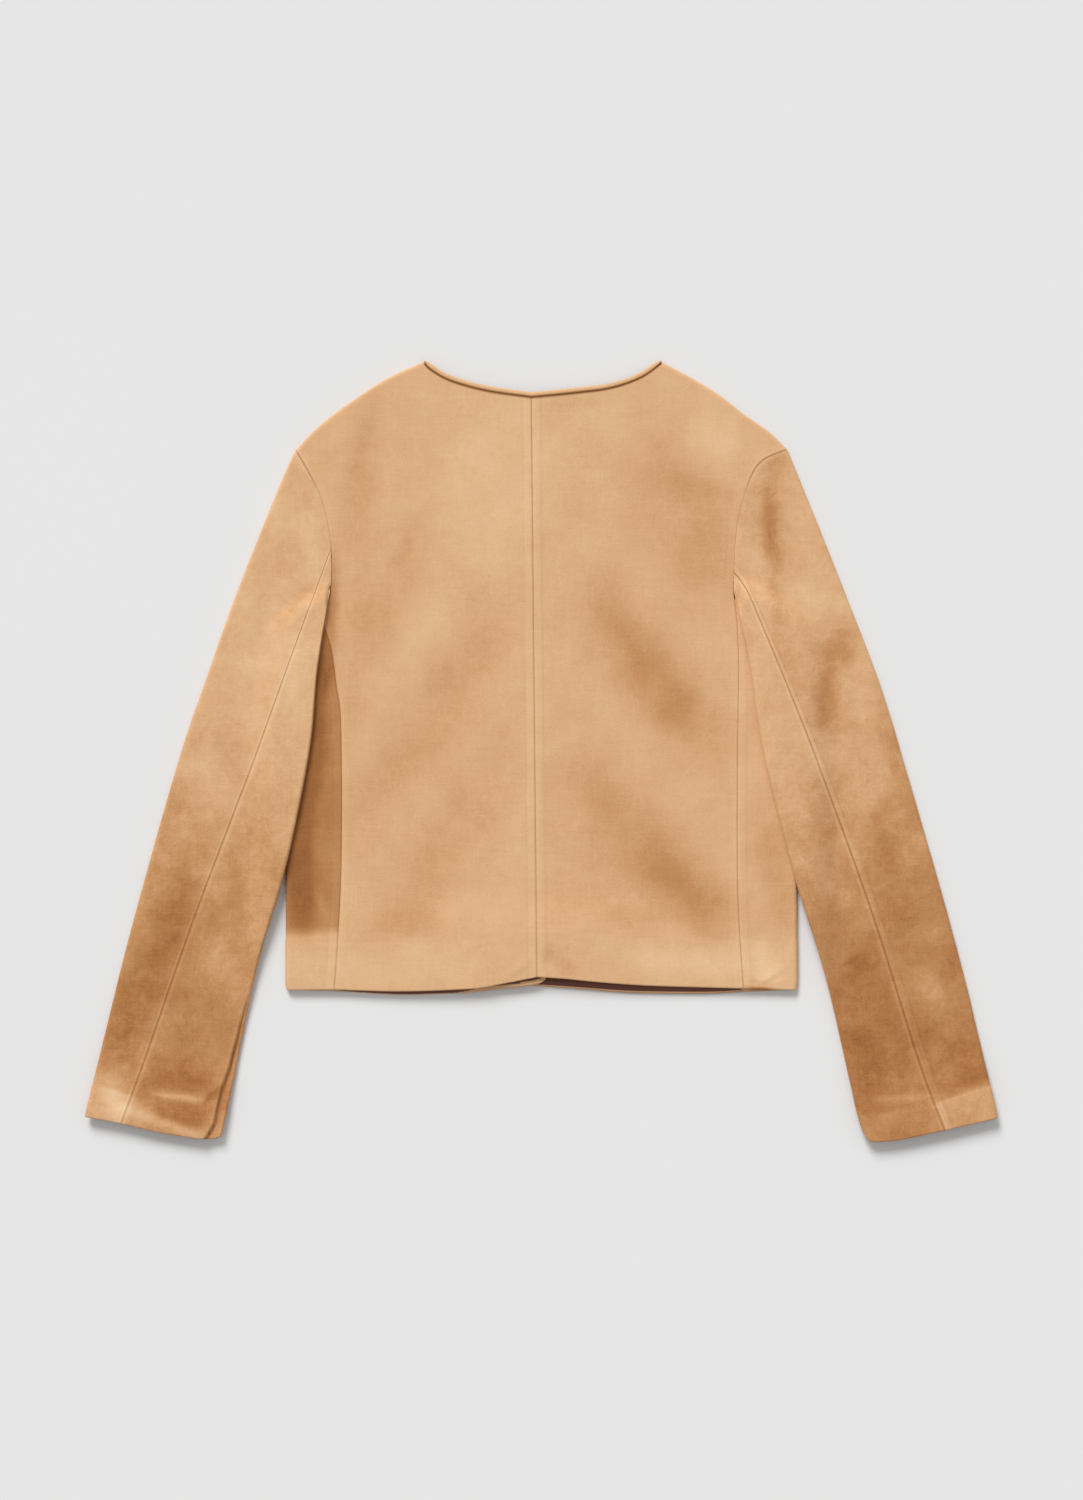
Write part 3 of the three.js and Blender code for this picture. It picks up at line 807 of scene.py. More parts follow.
@dataclass(frozen=True)
class SuedeFinish:
    """Brushed suede: a shade that follows the nap, painted shade and highlights included, fine fibres and a
    soft sheen.

    Args:
        name: the material's name.
        ramp: positions and linear colours, from light nap to dark.
        cloud: how mottled it is.
        grain: how strong its fibres are.
        sheen: weight of the sheen.
        mottle: how much of the mottling is left where the nap is deep.
    """

    name: str
    ramp: Ramp
    cloud: float = 0.50
    grain: float = 0.50
    sheen: float = 0.22
    mottle: float = 0.9

    def build(self, brushed: bpy.types.NodeTree) -> bpy.types.Material:
        """Returns the material.

        Args:
            brushed: the shared brushed-nap group.

        Returns:
            The material, which reads the nap and seam attributes, with the painted shade and highlights they
            carry.
        """
        material = bpy.data.materials.new(self.name)
        material.use_nodes = True
        tree = material.node_tree
        tree.nodes.clear()
        nap = new_node(tree, "ShaderNodeAttribute", attribute_name="nap").outputs["Fac"]
        seam = new_node(tree, "ShaderNodeAttribute", attribute_name="seam").outputs["Fac"]
        effect = new_node(tree, "ShaderNodeGroup", node_tree=brushed)
        effect.inputs["Cloud"].default_value = self.cloud
        effect.inputs["Grain"].default_value = self.grain
        gain = new_node(tree, "ShaderNodeMapRange", {0: nap, 1: 0.1, 2: 1.2, 3: 0.85, 4: self.mottle})
        shade = new_node(tree, "ShaderNodeMath", {0: effect.outputs["Shade"], 1: gain.outputs[0], 2: nap},
                         operation="MULTIPLY_ADD")
        place = new_node(tree, "ShaderNodeMapRange", {0: shade.outputs[0], 1: -1.0, 2: 3.0})
        ramp = new_node(tree, "ShaderNodeValToRGB", {0: place.outputs[0]})
        stops = ramp.color_ramp.elements
        while len(stops) < len(self.ramp):
            stops.new(0.5)
        for stop, (spot, colour) in zip(stops, self.ramp):
            stop.position = spot
            stop.color = (*colour, 1)
        # Mixes in that brown where the seam layer asks: seam lines and painted shade lines.
        dark = new_node(tree, "ShaderNodeMix", {0: seam, 6: ramp.outputs[0], 7: SEAM_AND_SHADE_BROWN}, data_type="RGBA")
        bump = new_node(tree, "ShaderNodeBump", {
            "Height": effect.outputs["Height"],
            "Strength": 0.35,
            "Distance": 0.0005,
        })
        cloth = new_node(tree, "ShaderNodeBsdfPrincipled", {
            "Base Color": dark.outputs[2],
            "Normal": bump.outputs[0],
            "Roughness": 0.93,
            "Specular IOR Level": 0.12,
            "Sheen Weight": self.sheen,
            "Sheen Roughness": 0.38,
            "Sheen Tint": SHEEN_TINT,
        })
        new_node(tree, "ShaderNodeOutputMaterial", {0: cloth.outputs[0]})
        return material


# Positions and linear colours, from the lightest nap to the darkest.
TAN_RAMP = (
    (0.08, (0.860, 0.600, 0.350)),
    (0.20, (0.790, 0.508, 0.292)),
    (0.34, (0.700, 0.413, 0.212)),
    (0.52, (0.550, 0.275, 0.116)),
    (0.72, (0.410, 0.172, 0.058)),
    (0.90, (0.260, 0.098, 0.028)),
    (1.00, (0.130, 0.044, 0.020)),
)
# The cloth's reverse, darkened as painted shade for the insides that show.
SHADED_RAMP = (
    (0.10, (0.240, 0.105, 0.078)),
    (0.45, (0.170, 0.070, 0.054)),
    (0.90, (0.100, 0.040, 0.032)),
)
SUEDE = SuedeFinish("suede", TAN_RAMP)
SLEEVE_SUEDE = SuedeFinish("suede_sleeve", TAN_RAMP, cloud=0.90, mottle=1.2)
FACING_SUEDE = SuedeFinish("suede_facing", TAN_RAMP, cloud=0.3)
BINDING_SUEDE = SuedeFinish("suede_binding", TAN_RAMP, cloud=0.2)
SHADED_REVERSE = SuedeFinish("suede_reverse_shaded", SHADED_RAMP, cloud=0.2, sheen=0.05)


# ---- Panels ----
def path_lengths(points: Sequence[Vector]) -> list[float]:
    """Returns the running length along a row of points.

    Args:
        points: the row.

    Returns:
        The length up to each point, from 0.
    """
    lengths = [0.0]
    for a, b in zip(points, points[1:]):
        lengths.append(lengths[-1] + (b - a).length)
    return lengths


def finished_cloth(bm: bmesh.types.BMesh, node: str, thickness: float) -> bpy.types.Object:
    """Returns a smooth shell as an object, with a wall behind its outer face.

    Args:
        bm: the outer face, which is freed.
        node: the solid that the piece stands for.
        thickness: the wall's thickness, in millimetres.

    Returns:
        The piece, linked to the scene.
    """
    for face in bm.faces:
        face.smooth = True
    mesh = bpy.data.meshes.new(f"{node}_cloth")
    bm.to_mesh(mesh)
    bm.free()
    piece = bpy.data.objects.new(mesh.name, mesh)
    bpy.context.scene.collection.objects.link(piece)
    wall = piece.modifiers.new("wall", "SOLIDIFY")
    wall.thickness = thickness * MM
    wall.offset = -1
    log.info("%s: %d faces", node, len(mesh.polygons))
    return piece


def rounded_edge(gap: float, radius: float) -> float:
    """Returns how far a rounded edge has dropped, 1 on the edge and 0 a radius in."""
    return 1 - math.sqrt(max(0.0, 1 - (1 - min(1.0, gap / radius)) ** 2))


def bell(gap: float, centre: float, width: float) -> float:
    """Returns a soft line's strength, 1 at its centre."""
    return math.exp(-(((gap - centre) / width) ** 2))


@dataclass
class Panel:
    """One cut piece of cloth: a grid laid over its outer face, given a thickness.

    Args:
        side: the half of the jacket it belongs to.
        outward: 1 where the grid's columns run anticlockwise round its rows.
        shade: its nap's own shade.
        deepest: the darkest that strokes make it.
        thickness: the cloth's thickness.
        edges: how each edge is finished, by its name.
    """

    side: Side
    outward: int = 1
    shade: float = 0.26
    deepest: float = 1.9
    thickness: float = CLOTH
    edges: dict[str, Edge] = field(default_factory=dict)

    def __post_init__(self) -> None:
        """Lays out nothing here; each kind of panel lays out its own plan."""

    @property
    def name(self) -> str:
        """The piece's name, from its class and side."""
        raise NotImplementedError

    def turn_up_reach(self, p: Vector) -> float:
        """Returns how far in from the hem its inner face shows the cloth's outer face."""
        return HEM_BAND

    def columns(self) -> list[float]:
        """Returns the grid's column values."""
        raise NotImplementedError

    def rows(self) -> list[float]:
        """Returns the grid's row values."""
        raise NotImplementedError

    def place(self, u: float, v: float) -> Vector:
        """Returns a point of the smooth outer face, in millimetres."""
        raise NotImplementedError

    def nap_and_painted_light_strokes(self) -> Sequence[Stroke]:
        """Returns the nap's strokes, some of which are painted shade and painted highlights."""
        return BODY_NAP_AND_PAINTED_LIGHT

    def crease_strokes(self) -> Sequence[Stroke]:
        """Returns the creases."""
        return BODY_CREASES

    def own_shade(self, p: Vector, v: float, gaps: dict[str, float]) -> float:
        """Returns the nap's shade before any stroke."""
        return self.shade

    def relief(self, p: Vector, gaps: dict[str, float], faces_up: float) -> tuple[float, float, float]:
        """Returns what the edges, creases and ripples add at a point.

        Args:
            p: the point.
            gaps: distance to each edge over the cloth.
            faces_up: 1 on the back of the jacket, 0 underneath.

        Returns:
            The height off the smooth face, the dark line of seams and of painted shade, and the painted
            highlight over pressed seam allowances.
        """
        height = seam = painted_light = 0.0
        for where, gap in gaps.items():
            kind = self.edges.get(where, Edge.HIDDEN)
            if kind is Edge.SEAM:
                firm_and_shadow, lift = self.firmness_and_shadow(where, p), self.allowance(where)
                pressed = lift * (1 - smoothstep(gap, 6.2, 7.4)) * smoothstep(gap, 0.4, 1.6)
                height += pressed - 0.27 * firm_and_shadow * bell(gap, 0, 0.7)
                # Painted highlight: lighter nap over the pressed allowance, along its raised edge and just
                # beside the seam.
                pressed_highlight = 0.16 * firm_and_shadow**3 * bell(gap, 2.2, 1.1) if firm_and_shadow < 1.5 else 0.0
                painted_light = max(painted_light, 0.35 * pressed, 0.5 * lift * bell(gap, 6.3, 1.1), pressed_highlight)
                # The seam's dark line, deepened as painted shadow where the left sleeve hangs over the
                # armhole, and a painted shadow just past the allowance's raised edge.
                seam = max(seam, 0.18 * firm_and_shadow * bell(gap, 0, 0.6), 0.25 * lift * bell(gap, 8.0, 0.9))
            elif kind in (Edge.HEM, Edge.CUFF):
                band = self.band(kind)
                height += 0.45 * (1 - smoothstep(gap, band - 2.5, band + 2.5))
                height -= rounded_edge(gap, 1.2) + 0.22 * bell(gap, band, 1.3)
                # Painted shade: a dark line in the groove along the top of the turned-up band.
                seam = max(seam, 0.10 * bell(gap, band, 1.2))
            elif kind is Edge.RAW_FOLD:
                height -= 0.6 * rounded_edge(gap, 0.9)
                if where == "high" and abs(p.x) < NECK_HALF_WIDTH:
                    # Painted shadow along the back neck, beside the rim.
                    seam = max(seam, 0.85 * math.exp(-((gap / 1.4) ** 4)))
        crease = sum(stroke.at(p.x, p.y) for stroke in self.crease_strokes()) * faces_up
        ripple = noise.noise(Vector((p.x, p.y, 7.0)) * 0.021) * 0.45
        ripple += noise.noise(Vector((p.x, p.y, 3.0)) * 0.06) * 0.16
        calm = smoothstep(min(gaps.values()), 0, 14)
        return height + (crease + ripple * faces_up) * calm, seam, painted_light

    @staticmethod
    def band(kind: Edge) -> float:
        """Returns how deep a hem or a cuff is turned up."""
        return HEM_BAND if kind is Edge.HEM else CUFF_BAND

    def firmness_and_shadow(self, where: str, p: Vector) -> float:
        """Returns how sharply an edge's seam is pressed at a point, which also sets how dark its line is
        painted.
        """
        return 1.0

    def allowance(self, where: str) -> float:
        """Returns how far the pressed seam allowance lifts the cloth by an edge."""
        return 0.22

    def tuck(self, p: Vector) -> tuple[float, float, float]:
        """Returns the height, the painted shade line and the painted nap shade and highlight of any fold in
        the cloth at a point.
        """
        return 0.0, 0.0, 0.0

    def fold_shade(self, p: Vector) -> float:
        """Returns how much darker the nap is painted where the cloth turns down at a fold; less than nothing
        is a painted highlight.
        """
        return -0.5

    def shade_at(self, p: Vector, v: float, normal: Vector, gaps: dict[str, float]) -> float:
        """Returns the nap's shade at a point.

        Args:
            p: the point.
            v: its row, 0 at the low edge.
            normal: the smooth face's normal there.
            gaps: distance to each edge over the cloth.

        Returns:
            The shade, more for darker, with a painted highlight where the cloth turns down at a fold, and
            painted shade where the left sleeve's fold lies on the body.
        """
        loose, exact = wander(p.x, p.y), (p.x, p.y)
        strokes = sum(stroke.at(*(loose if stroke.width > 7 else exact)) for stroke in self.nap_and_painted_light_strokes())
        uneven = 1 + 0.28 * noise.noise(Vector((p.x * 0.03, p.y * 0.03, 9.1)))
        bent = smoothstep(0.6 - abs(normal.z), 0, 0.4) if v < 0.93 else 0.0
        own = self.own_shade(p, v, gaps)
        return own + min(strokes * uneven, max(0.0, self.deepest - own)) + self.fold_shade(p) * bent

    def build(self) -> bpy.types.Object:
        """Returns the finished piece of cloth.

        Returns:
            The piece, with its nap and seam attributes and its wall.
        """
        columns, rows = self.columns(), self.rows()
        wide, tall = len(columns), len(rows)
        smooth = [[self.place(u, v) for u in columns] for v in rows]
        across = [path_lengths(row) for row in smooth]
        along = [path_lengths([smooth[j][i] for j in range(tall)]) for i in range(wide)]
        bm = bmesh.new()
        bmesh.ops.create_grid(bm, x_segments=wide - 1, y_segments=tall - 1, size=0.5)
        # This layer holds the nap's shade together with painted shade and painted highlights.
        nap = bm.verts.layers.float.new("nap")
        # This layer holds the dark seam lines and the painted shade lines.
        seam = bm.verts.layers.float.new("seam")
        turned = bm.verts.layers.int.new("turned")
        deform = bm.verts.layers.deform.verify()
        for vert in bm.verts:
            i = round((vert.co.x + 0.5) * (wide - 1))
            j = round((vert.co.y + 0.5) * (tall - 1))
            p = smooth[j][i]
            east, west = smooth[j][min(i + 1, wide - 1)], smooth[j][max(i - 1, 0)]
            north, south = smooth[min(j + 1, tall - 1)][i], smooth[max(j - 1, 0)][i]
            normal = (east - west).cross(north - south).normalized() * self.outward
            gaps = {
                "start": across[j][i],
                "end": across[j][-1] - across[j][i],
                "low": along[i][j],
                "high": along[i][-1] - along[i][j],
            }
            up = smoothstep(normal.z, -0.2, 0.6)
            height, dark, painted_light = self.relief(p, gaps, up)
            if up > 0.5:
                # A fold's painted shade line and painted shade and highlight join the rest here.
                step, line, tone = self.tuck(p)
                height += step * smoothstep(normal.z, 0.45, 1.0)
                dark = max(dark, line)
                painted_light -= tone
            if normal.z < -0.2:
                height = min(height, 0.0) * 0.6
            spot = p + normal * height
            vert.co = Vector((spot.x, spot.y, max(spot.z, 0.0))) * MM
            vert[nap] = self.shade_at(p, rows[j], normal, gaps) - painted_light
            vert[seam] = dark
            vert[deform][0] = self.wall(gaps) / self.doubled_wall
            vert[turned] = vert[deform][0] > 0.99 and gaps["low"] < self.turn_up_reach(p)
        if self.outward < 0:
            bmesh.ops.reverse_faces(bm, faces=bm.faces)
        for face in bm.faces:
            face.material_index = 2 if all(vert[turned] for vert in face.verts) else 0
        piece = finished_cloth(bm, self.name, self.doubled_wall)
        piece.vertex_groups.new(name="wall")
        wall = piece.modifiers["wall"]
        wall.vertex_group = "wall"
        wall.use_rim = True
        wall.material_offset = 1
        return piece

    @property
    def doubled_wall(self) -> float:
        """The thickest that this piece gets, where its cloth is turned up."""
        return DOUBLED if self.thickness == CLOTH else self.thickness

    def wall(self, gaps: dict[str, float]) -> float:
        """Returns the cloth's thickness at a point.

        Args:
            gaps: distance to each edge over the cloth.

        Returns:
            The thickness in millimetres, more where a hem or a cuff is turned up.
        """
        thick = self.thickness
        for where, gap in gaps.items():
            kind = self.edges.get(where, Edge.HIDDEN)
            if kind in (Edge.HEM, Edge.CUFF):
                band = self.band(kind)
                thick = lerp(DOUBLED, thick, smoothstep(gap, band - 1, band + 1))
        return thick


class BodyPanel(Panel):
    """Half of the back or of the front, from its centre edge to its side."""

    PITCH = 3.2

    def allowance(self, where: str) -> float:
        """Returns the lift of the seam allowance, more at the centre."""
        return 0.3 if where == "start" else 0.1

    def firmness_and_shadow(self, where: str, p: Vector) -> float:
        """Returns 1 on the long seams, and less down the armhole than at its top; more where the left
        sleeve's shadow is painted on it.
        """
        return 1.0 if where != "end" or p.y < 138 else armhole_firmness_and_shadow(self.side, p.y)

    def prepare(self, hem: Rows, edge: Curve, neck: Rows, armhole: Rows, seam: Rows) -> None:
        """Lays out the panel's plan.

        Args:
            hem: rows of the hem.
            edge: the centre edge.
            neck: rows of the neckline.
            armhole: rows of the armhole.
            seam: rows of the side seam.
        """
        top = joined(through(neck), through(self.side.shoulder), HPS_SHARE)
        outer = joined(through(seam), through(armhole), SIDE_SHARE)
        self.plan = patch(through(hem), top, edge, outer)
        self.shoulder = distance_to(through(self.side.shoulder))

    def columns(self) -> list[float]:
        """Returns the columns.

        Returns:
            Their shares of the width, with one on the neck point.
        """
        inner = [share * HPS_SHARE for share in spaced(NECK_LENGTH, self.PITCH, True, False)]
        outer = [lerp(HPS_SHARE, 1, share) for share in spaced(SHOULDER_LENGTH, self.PITCH, False, True)]
        gap = SEAM_GAP / 2 / BODY_WIDTH
        return [lerp(gap, 1 - gap, share) for share in inner + outer[1:]]

    def rows(self) -> list[float]:
        """Returns the rows.

        Returns:
            Their shares of the length, with one on the underarm.
        """
        low = [share * SIDE_SHARE for share in spaced(SIDE_LENGTH, self.PITCH, True, False)]
        high = [lerp(SIDE_SHARE, 1, share) for share in spaced(ARMHOLE_LENGTH, self.PITCH, False, True)]
        return low + high[1:]


class BackPanel(BodyPanel):
    """Half of the back."""

    def __post_init__(self) -> None:
        """Takes the back's edges and outlines."""
        side = self.side
        self.outward = side.sign
        self.edges = {"start": Edge.SEAM, "end": Edge.SEAM, "low": Edge.HEM, "high": Edge.RAW_FOLD}
        self.prepare(side.back_hem, lambda v: Vector((lerp(-4, -9, v), lerp(-202.5, 318, v))),
                     side.back_neck, side.back_armhole, side.side_back)

    @property
    def name(self) -> str:
        """The piece's name."""
        return f"back_{self.side.name}"

    def place(self, u: float, v: float) -> Vector:
        """Returns a point of the back's outer face.

        Args:
            u: the share across, from the start edge to the end edge.
            v: the share along, from the low edge to the high edge.

        Returns:
            The point, in millimetres.
        """
        p = self.plan(u, v)
        gap = self.shoulder(p) if v > 0.8 else 1e3
        z = lerp(LOFT / 2 + LAYER_GAP, body_top(self.side, p), round_off(gap))
        return Vector((p.x, p.y, z))


class FrontPanel(BodyPanel):
    """Half of the front, on the floor or lapped over the other half."""

    PITCH = 5.0

    def __post_init__(self) -> None:
        """Takes the front's edges and outlines."""
        side = self.side
        self.outward = -side.sign
        self.edges = {"start": Edge.RAW_FOLD, "end": Edge.SEAM, "low": Edge.HEM, "high": Edge.RAW_FOLD}
        low, high = side.front_hem[0][1], side.front_neck[0][1]
        self.prepare(side.front_hem, lambda v: Vector((side.front_edge_x, lerp(low, high, v))),
                     side.front_neck, side.front_armhole, side.side_front)

    @property
    def name(self) -> str:
        """The piece's name."""
        return f"front_{self.side.name}"

    def turn_up_reach(self, p: Vector) -> float:
        """Returns a narrow rim, wider where the left front turns away from the back; past it the inner face
        takes the shaded reverse, a painted shadow under the back's hem.
        """
        return 2.4 if self.side.sign > 0 else lerp(1.2, 4.6, smoothstep(p.x, -78, -58))

    def place(self, u: float, v: float) -> Vector:
        """Returns a point of the front's outer face, which faces down.

        Args:
            u: the share across, from the start edge to the end edge.
            v: the share along, from the low edge to the high edge.

        Returns:
            The point, in millimetres.
        """
        p = self.plan(u, v)
        gap = self.shoulder(p) if v > 0.8 else 1e3
        rest = 0.0
        if self.side.sign < 0:
            near = smoothstep(p.x, -88, -56) * smoothstep(-p.y, 168, 206)
            rest = max(lap_height(p), 3.6 * near) + 0.8 * near
        return Vector((p.x, p.y, lerp(LOFT / 2 - LAYER_GAP, rest, round_off(gap))))


class FacingPanel(Panel):
    """The strip along a front's edge, lying on its inner face."""

    def __post_init__(self) -> None:
        """Takes the front that it lies on, and its thinner cloth."""
        self.front = FrontPanel(self.side)
        self.outward = -self.side.sign
        self.thickness = FACING_CLOTH

    @property
    def name(self) -> str:
        """The piece's name."""
        return f"facing_{self.side.name}"

    def columns(self) -> list[float]:
        """Returns the columns, out to the facing's width."""
        width = FACING_WIDTH / (180 - abs(self.side.front_edge_x))
        return [lerp(0.01, width, share) for share in spaced(80, 5, False, False)]

    def rows(self) -> list[float]:
        """Returns the rows; the left facing stops above the hem's turn-up."""
        start = (HEM_SHARE if self.side.sign < 0 else 0.0) + 0.012
        return [lerp(start, 0.94, share) for share in spaced(FACING_LENGTH, 5, False, False)]

    def own_shade(self, p: Vector, v: float, gaps: dict[str, float]) -> float:
        """Returns a shade that is deep inside the right hem, a painted shadow under the back's hem."""
        return 0.5 + (2.6 * (1 - smoothstep(v, 0.05, 0.12)) if self.side.sign > 0 else 0.0)

    def place(self, u: float, v: float) -> Vector:
        """Returns a point just above the front's inner face.

        Args:
            u: the share across, from the start edge to the end edge.
            v: the share along, from the low edge to the high edge.

        Returns:
            The point, in millimetres.
        """
        p = self.front.place(u, v)
        turned_up = 1 - smoothstep(v, HEM_SHARE - 0.001, HEM_SHARE + 0.004)
        p.z += lerp(CLOTH, DOUBLED, turned_up) + LAYER_GAP
        return p


class WrapPanel(Panel):
    """A piece that folds round an edge, from a seam above to a seam below.

    Args:
        top: the upper layer's plan, from the fold to its seam.
        bottom: the lower layer's plan, from the fold to its seam.
    """

    top: Plan
    bottom: Plan

    def heights(self, p: Vector, v: float) -> tuple[float, float]:
        """Returns the heights of the lower and the upper outer face."""
        raise NotImplementedError

    def fold_share(self, layer: Plan, v: float) -> float:
        """Returns the share of a layer's width that the rounded fold takes."""
        return FOLD_DEPTH / (layer(1, v) - layer(0, v)).length

    def wrap_columns(self, above: float, below: float, pitch: float = 3.0) -> list[float]:
        """Returns columns over the top, round the fold and along below.

        Args:
            above: width of the upper layer.
            below: width of the lower layer.
            pitch: spacing of the columns on top.

        Returns:
            The columns: 0 to 1 on top, 1 to 2 round the fold and 2 to 3 below.
        """
        top = spaced(above, pitch, True, False)
        turn = [1 + i / 12 for i in range(13)]
        low = [2 + share for share in spaced(below, 6.0, False, True)]
        columns = top[:-1] + turn + low[1:]
        columns[0] += SEAM_GAP / 2 / above
        columns[-1] -= SEAM_GAP / 2 / below
        return columns

    def place(self, u: float, v: float) -> Vector:
        """Returns a point of the outer face.

        Args:
            u: the column: 0 to 1 on top, 1 to 2 round the fold and 2 to 3 below.
            v: the share along, from the low edge to the high edge.

        Returns:
            The point, in millimetres.
        """
        part = min(2, int(u))
        local = u - part
        if part != 1:
            layer = self.top if part == 0 else self.bottom
            share = lerp(self.fold_share(layer, v), 1, 1 - local if part == 0 else local)
            p = layer(share, v)
            low, high = self.heights(p, v)
            return Vector((p.x, p.y, high if part == 0 else low))
        angle = lerp(math.pi / 2, -math.pi / 2, local)
        reach = 1 - math.cos(angle)
        above = self.top(reach * self.fold_share(self.top, v), v)
        p = self.bottom(reach * self.fold_share(self.bottom, v), v).lerp(above, (1 + math.sin(angle)) / 2)
        low, high = self.heights(p, v)
        return Vector((p.x, p.y, lerp(low, high, (1 + math.sin(angle)) / 2)))


class SidePanel(WrapPanel):
    """A side panel, folded round the body's side."""

    def __post_init__(self) -> None:
        """Takes the panel's edges and lays out its two layers."""
        side = self.side
        self.outward = side.sign
        # Deeper than other panels, for the left sleeve's painted shadow.
        self.deepest = 2.3
        self.edges = {"start": Edge.SEAM, "end": Edge.SEAM, "low": Edge.HEM}

        def fold(v: float) -> Vector:
            """Returns the folded edge.

            Args:
                v: the share along.

            Returns:
                The point, drawn in at the hem to round the corner.
            """
            y = lerp(HEM_Y, UNDERARM_Y, v)
            corner = math.exp(-(((y - HEM_Y) / 3.5) ** 2))
            return Vector((side.sign * (side_edge_x(y) - corner), y))

        def layer(rows: Rows) -> Plan:
            """Returns the plan of one layer.

            Args:
                rows: rows of its seam.

            Returns:
                The plan, from the fold to the seam.
            """
            seam = through(rows)
            start, end = fold(0), fold(1)
            return patch(lambda u: start.lerp(seam(0), u), lambda u: end.lerp(seam(1), u), fold, seam)

        self.top = layer(side.side_back)
        self.bottom = layer(side.side_front)

    @property
    def name(self) -> str:
        """The piece's name."""
        return f"side_{self.side.name}"

    def heights(self, p: Vector, v: float) -> tuple[float, float]:
        """Returns the floor and the body's upper face."""
        return 0.0, body_top(self.side, p)

    def own_shade(self, p: Vector, v: float, gaps: dict[str, float]) -> float:
        """Returns a shade that is deep on the left, above the turned-up hem: painted shadow of the left
        sleeve, with darker nap.
        """
        return self.shade + (1.15 * smoothstep(p.y, -168, -156) if self.side.sign < 0 else 0.0)

    def columns(self) -> list[float]:
        """Returns the columns."""
        return self.wrap_columns(SIDE_WIDTH, SIDE_WIDTH)

    def rows(self) -> list[float]:
        """Returns the rows."""
        return spaced(332, 3.2, True, False)


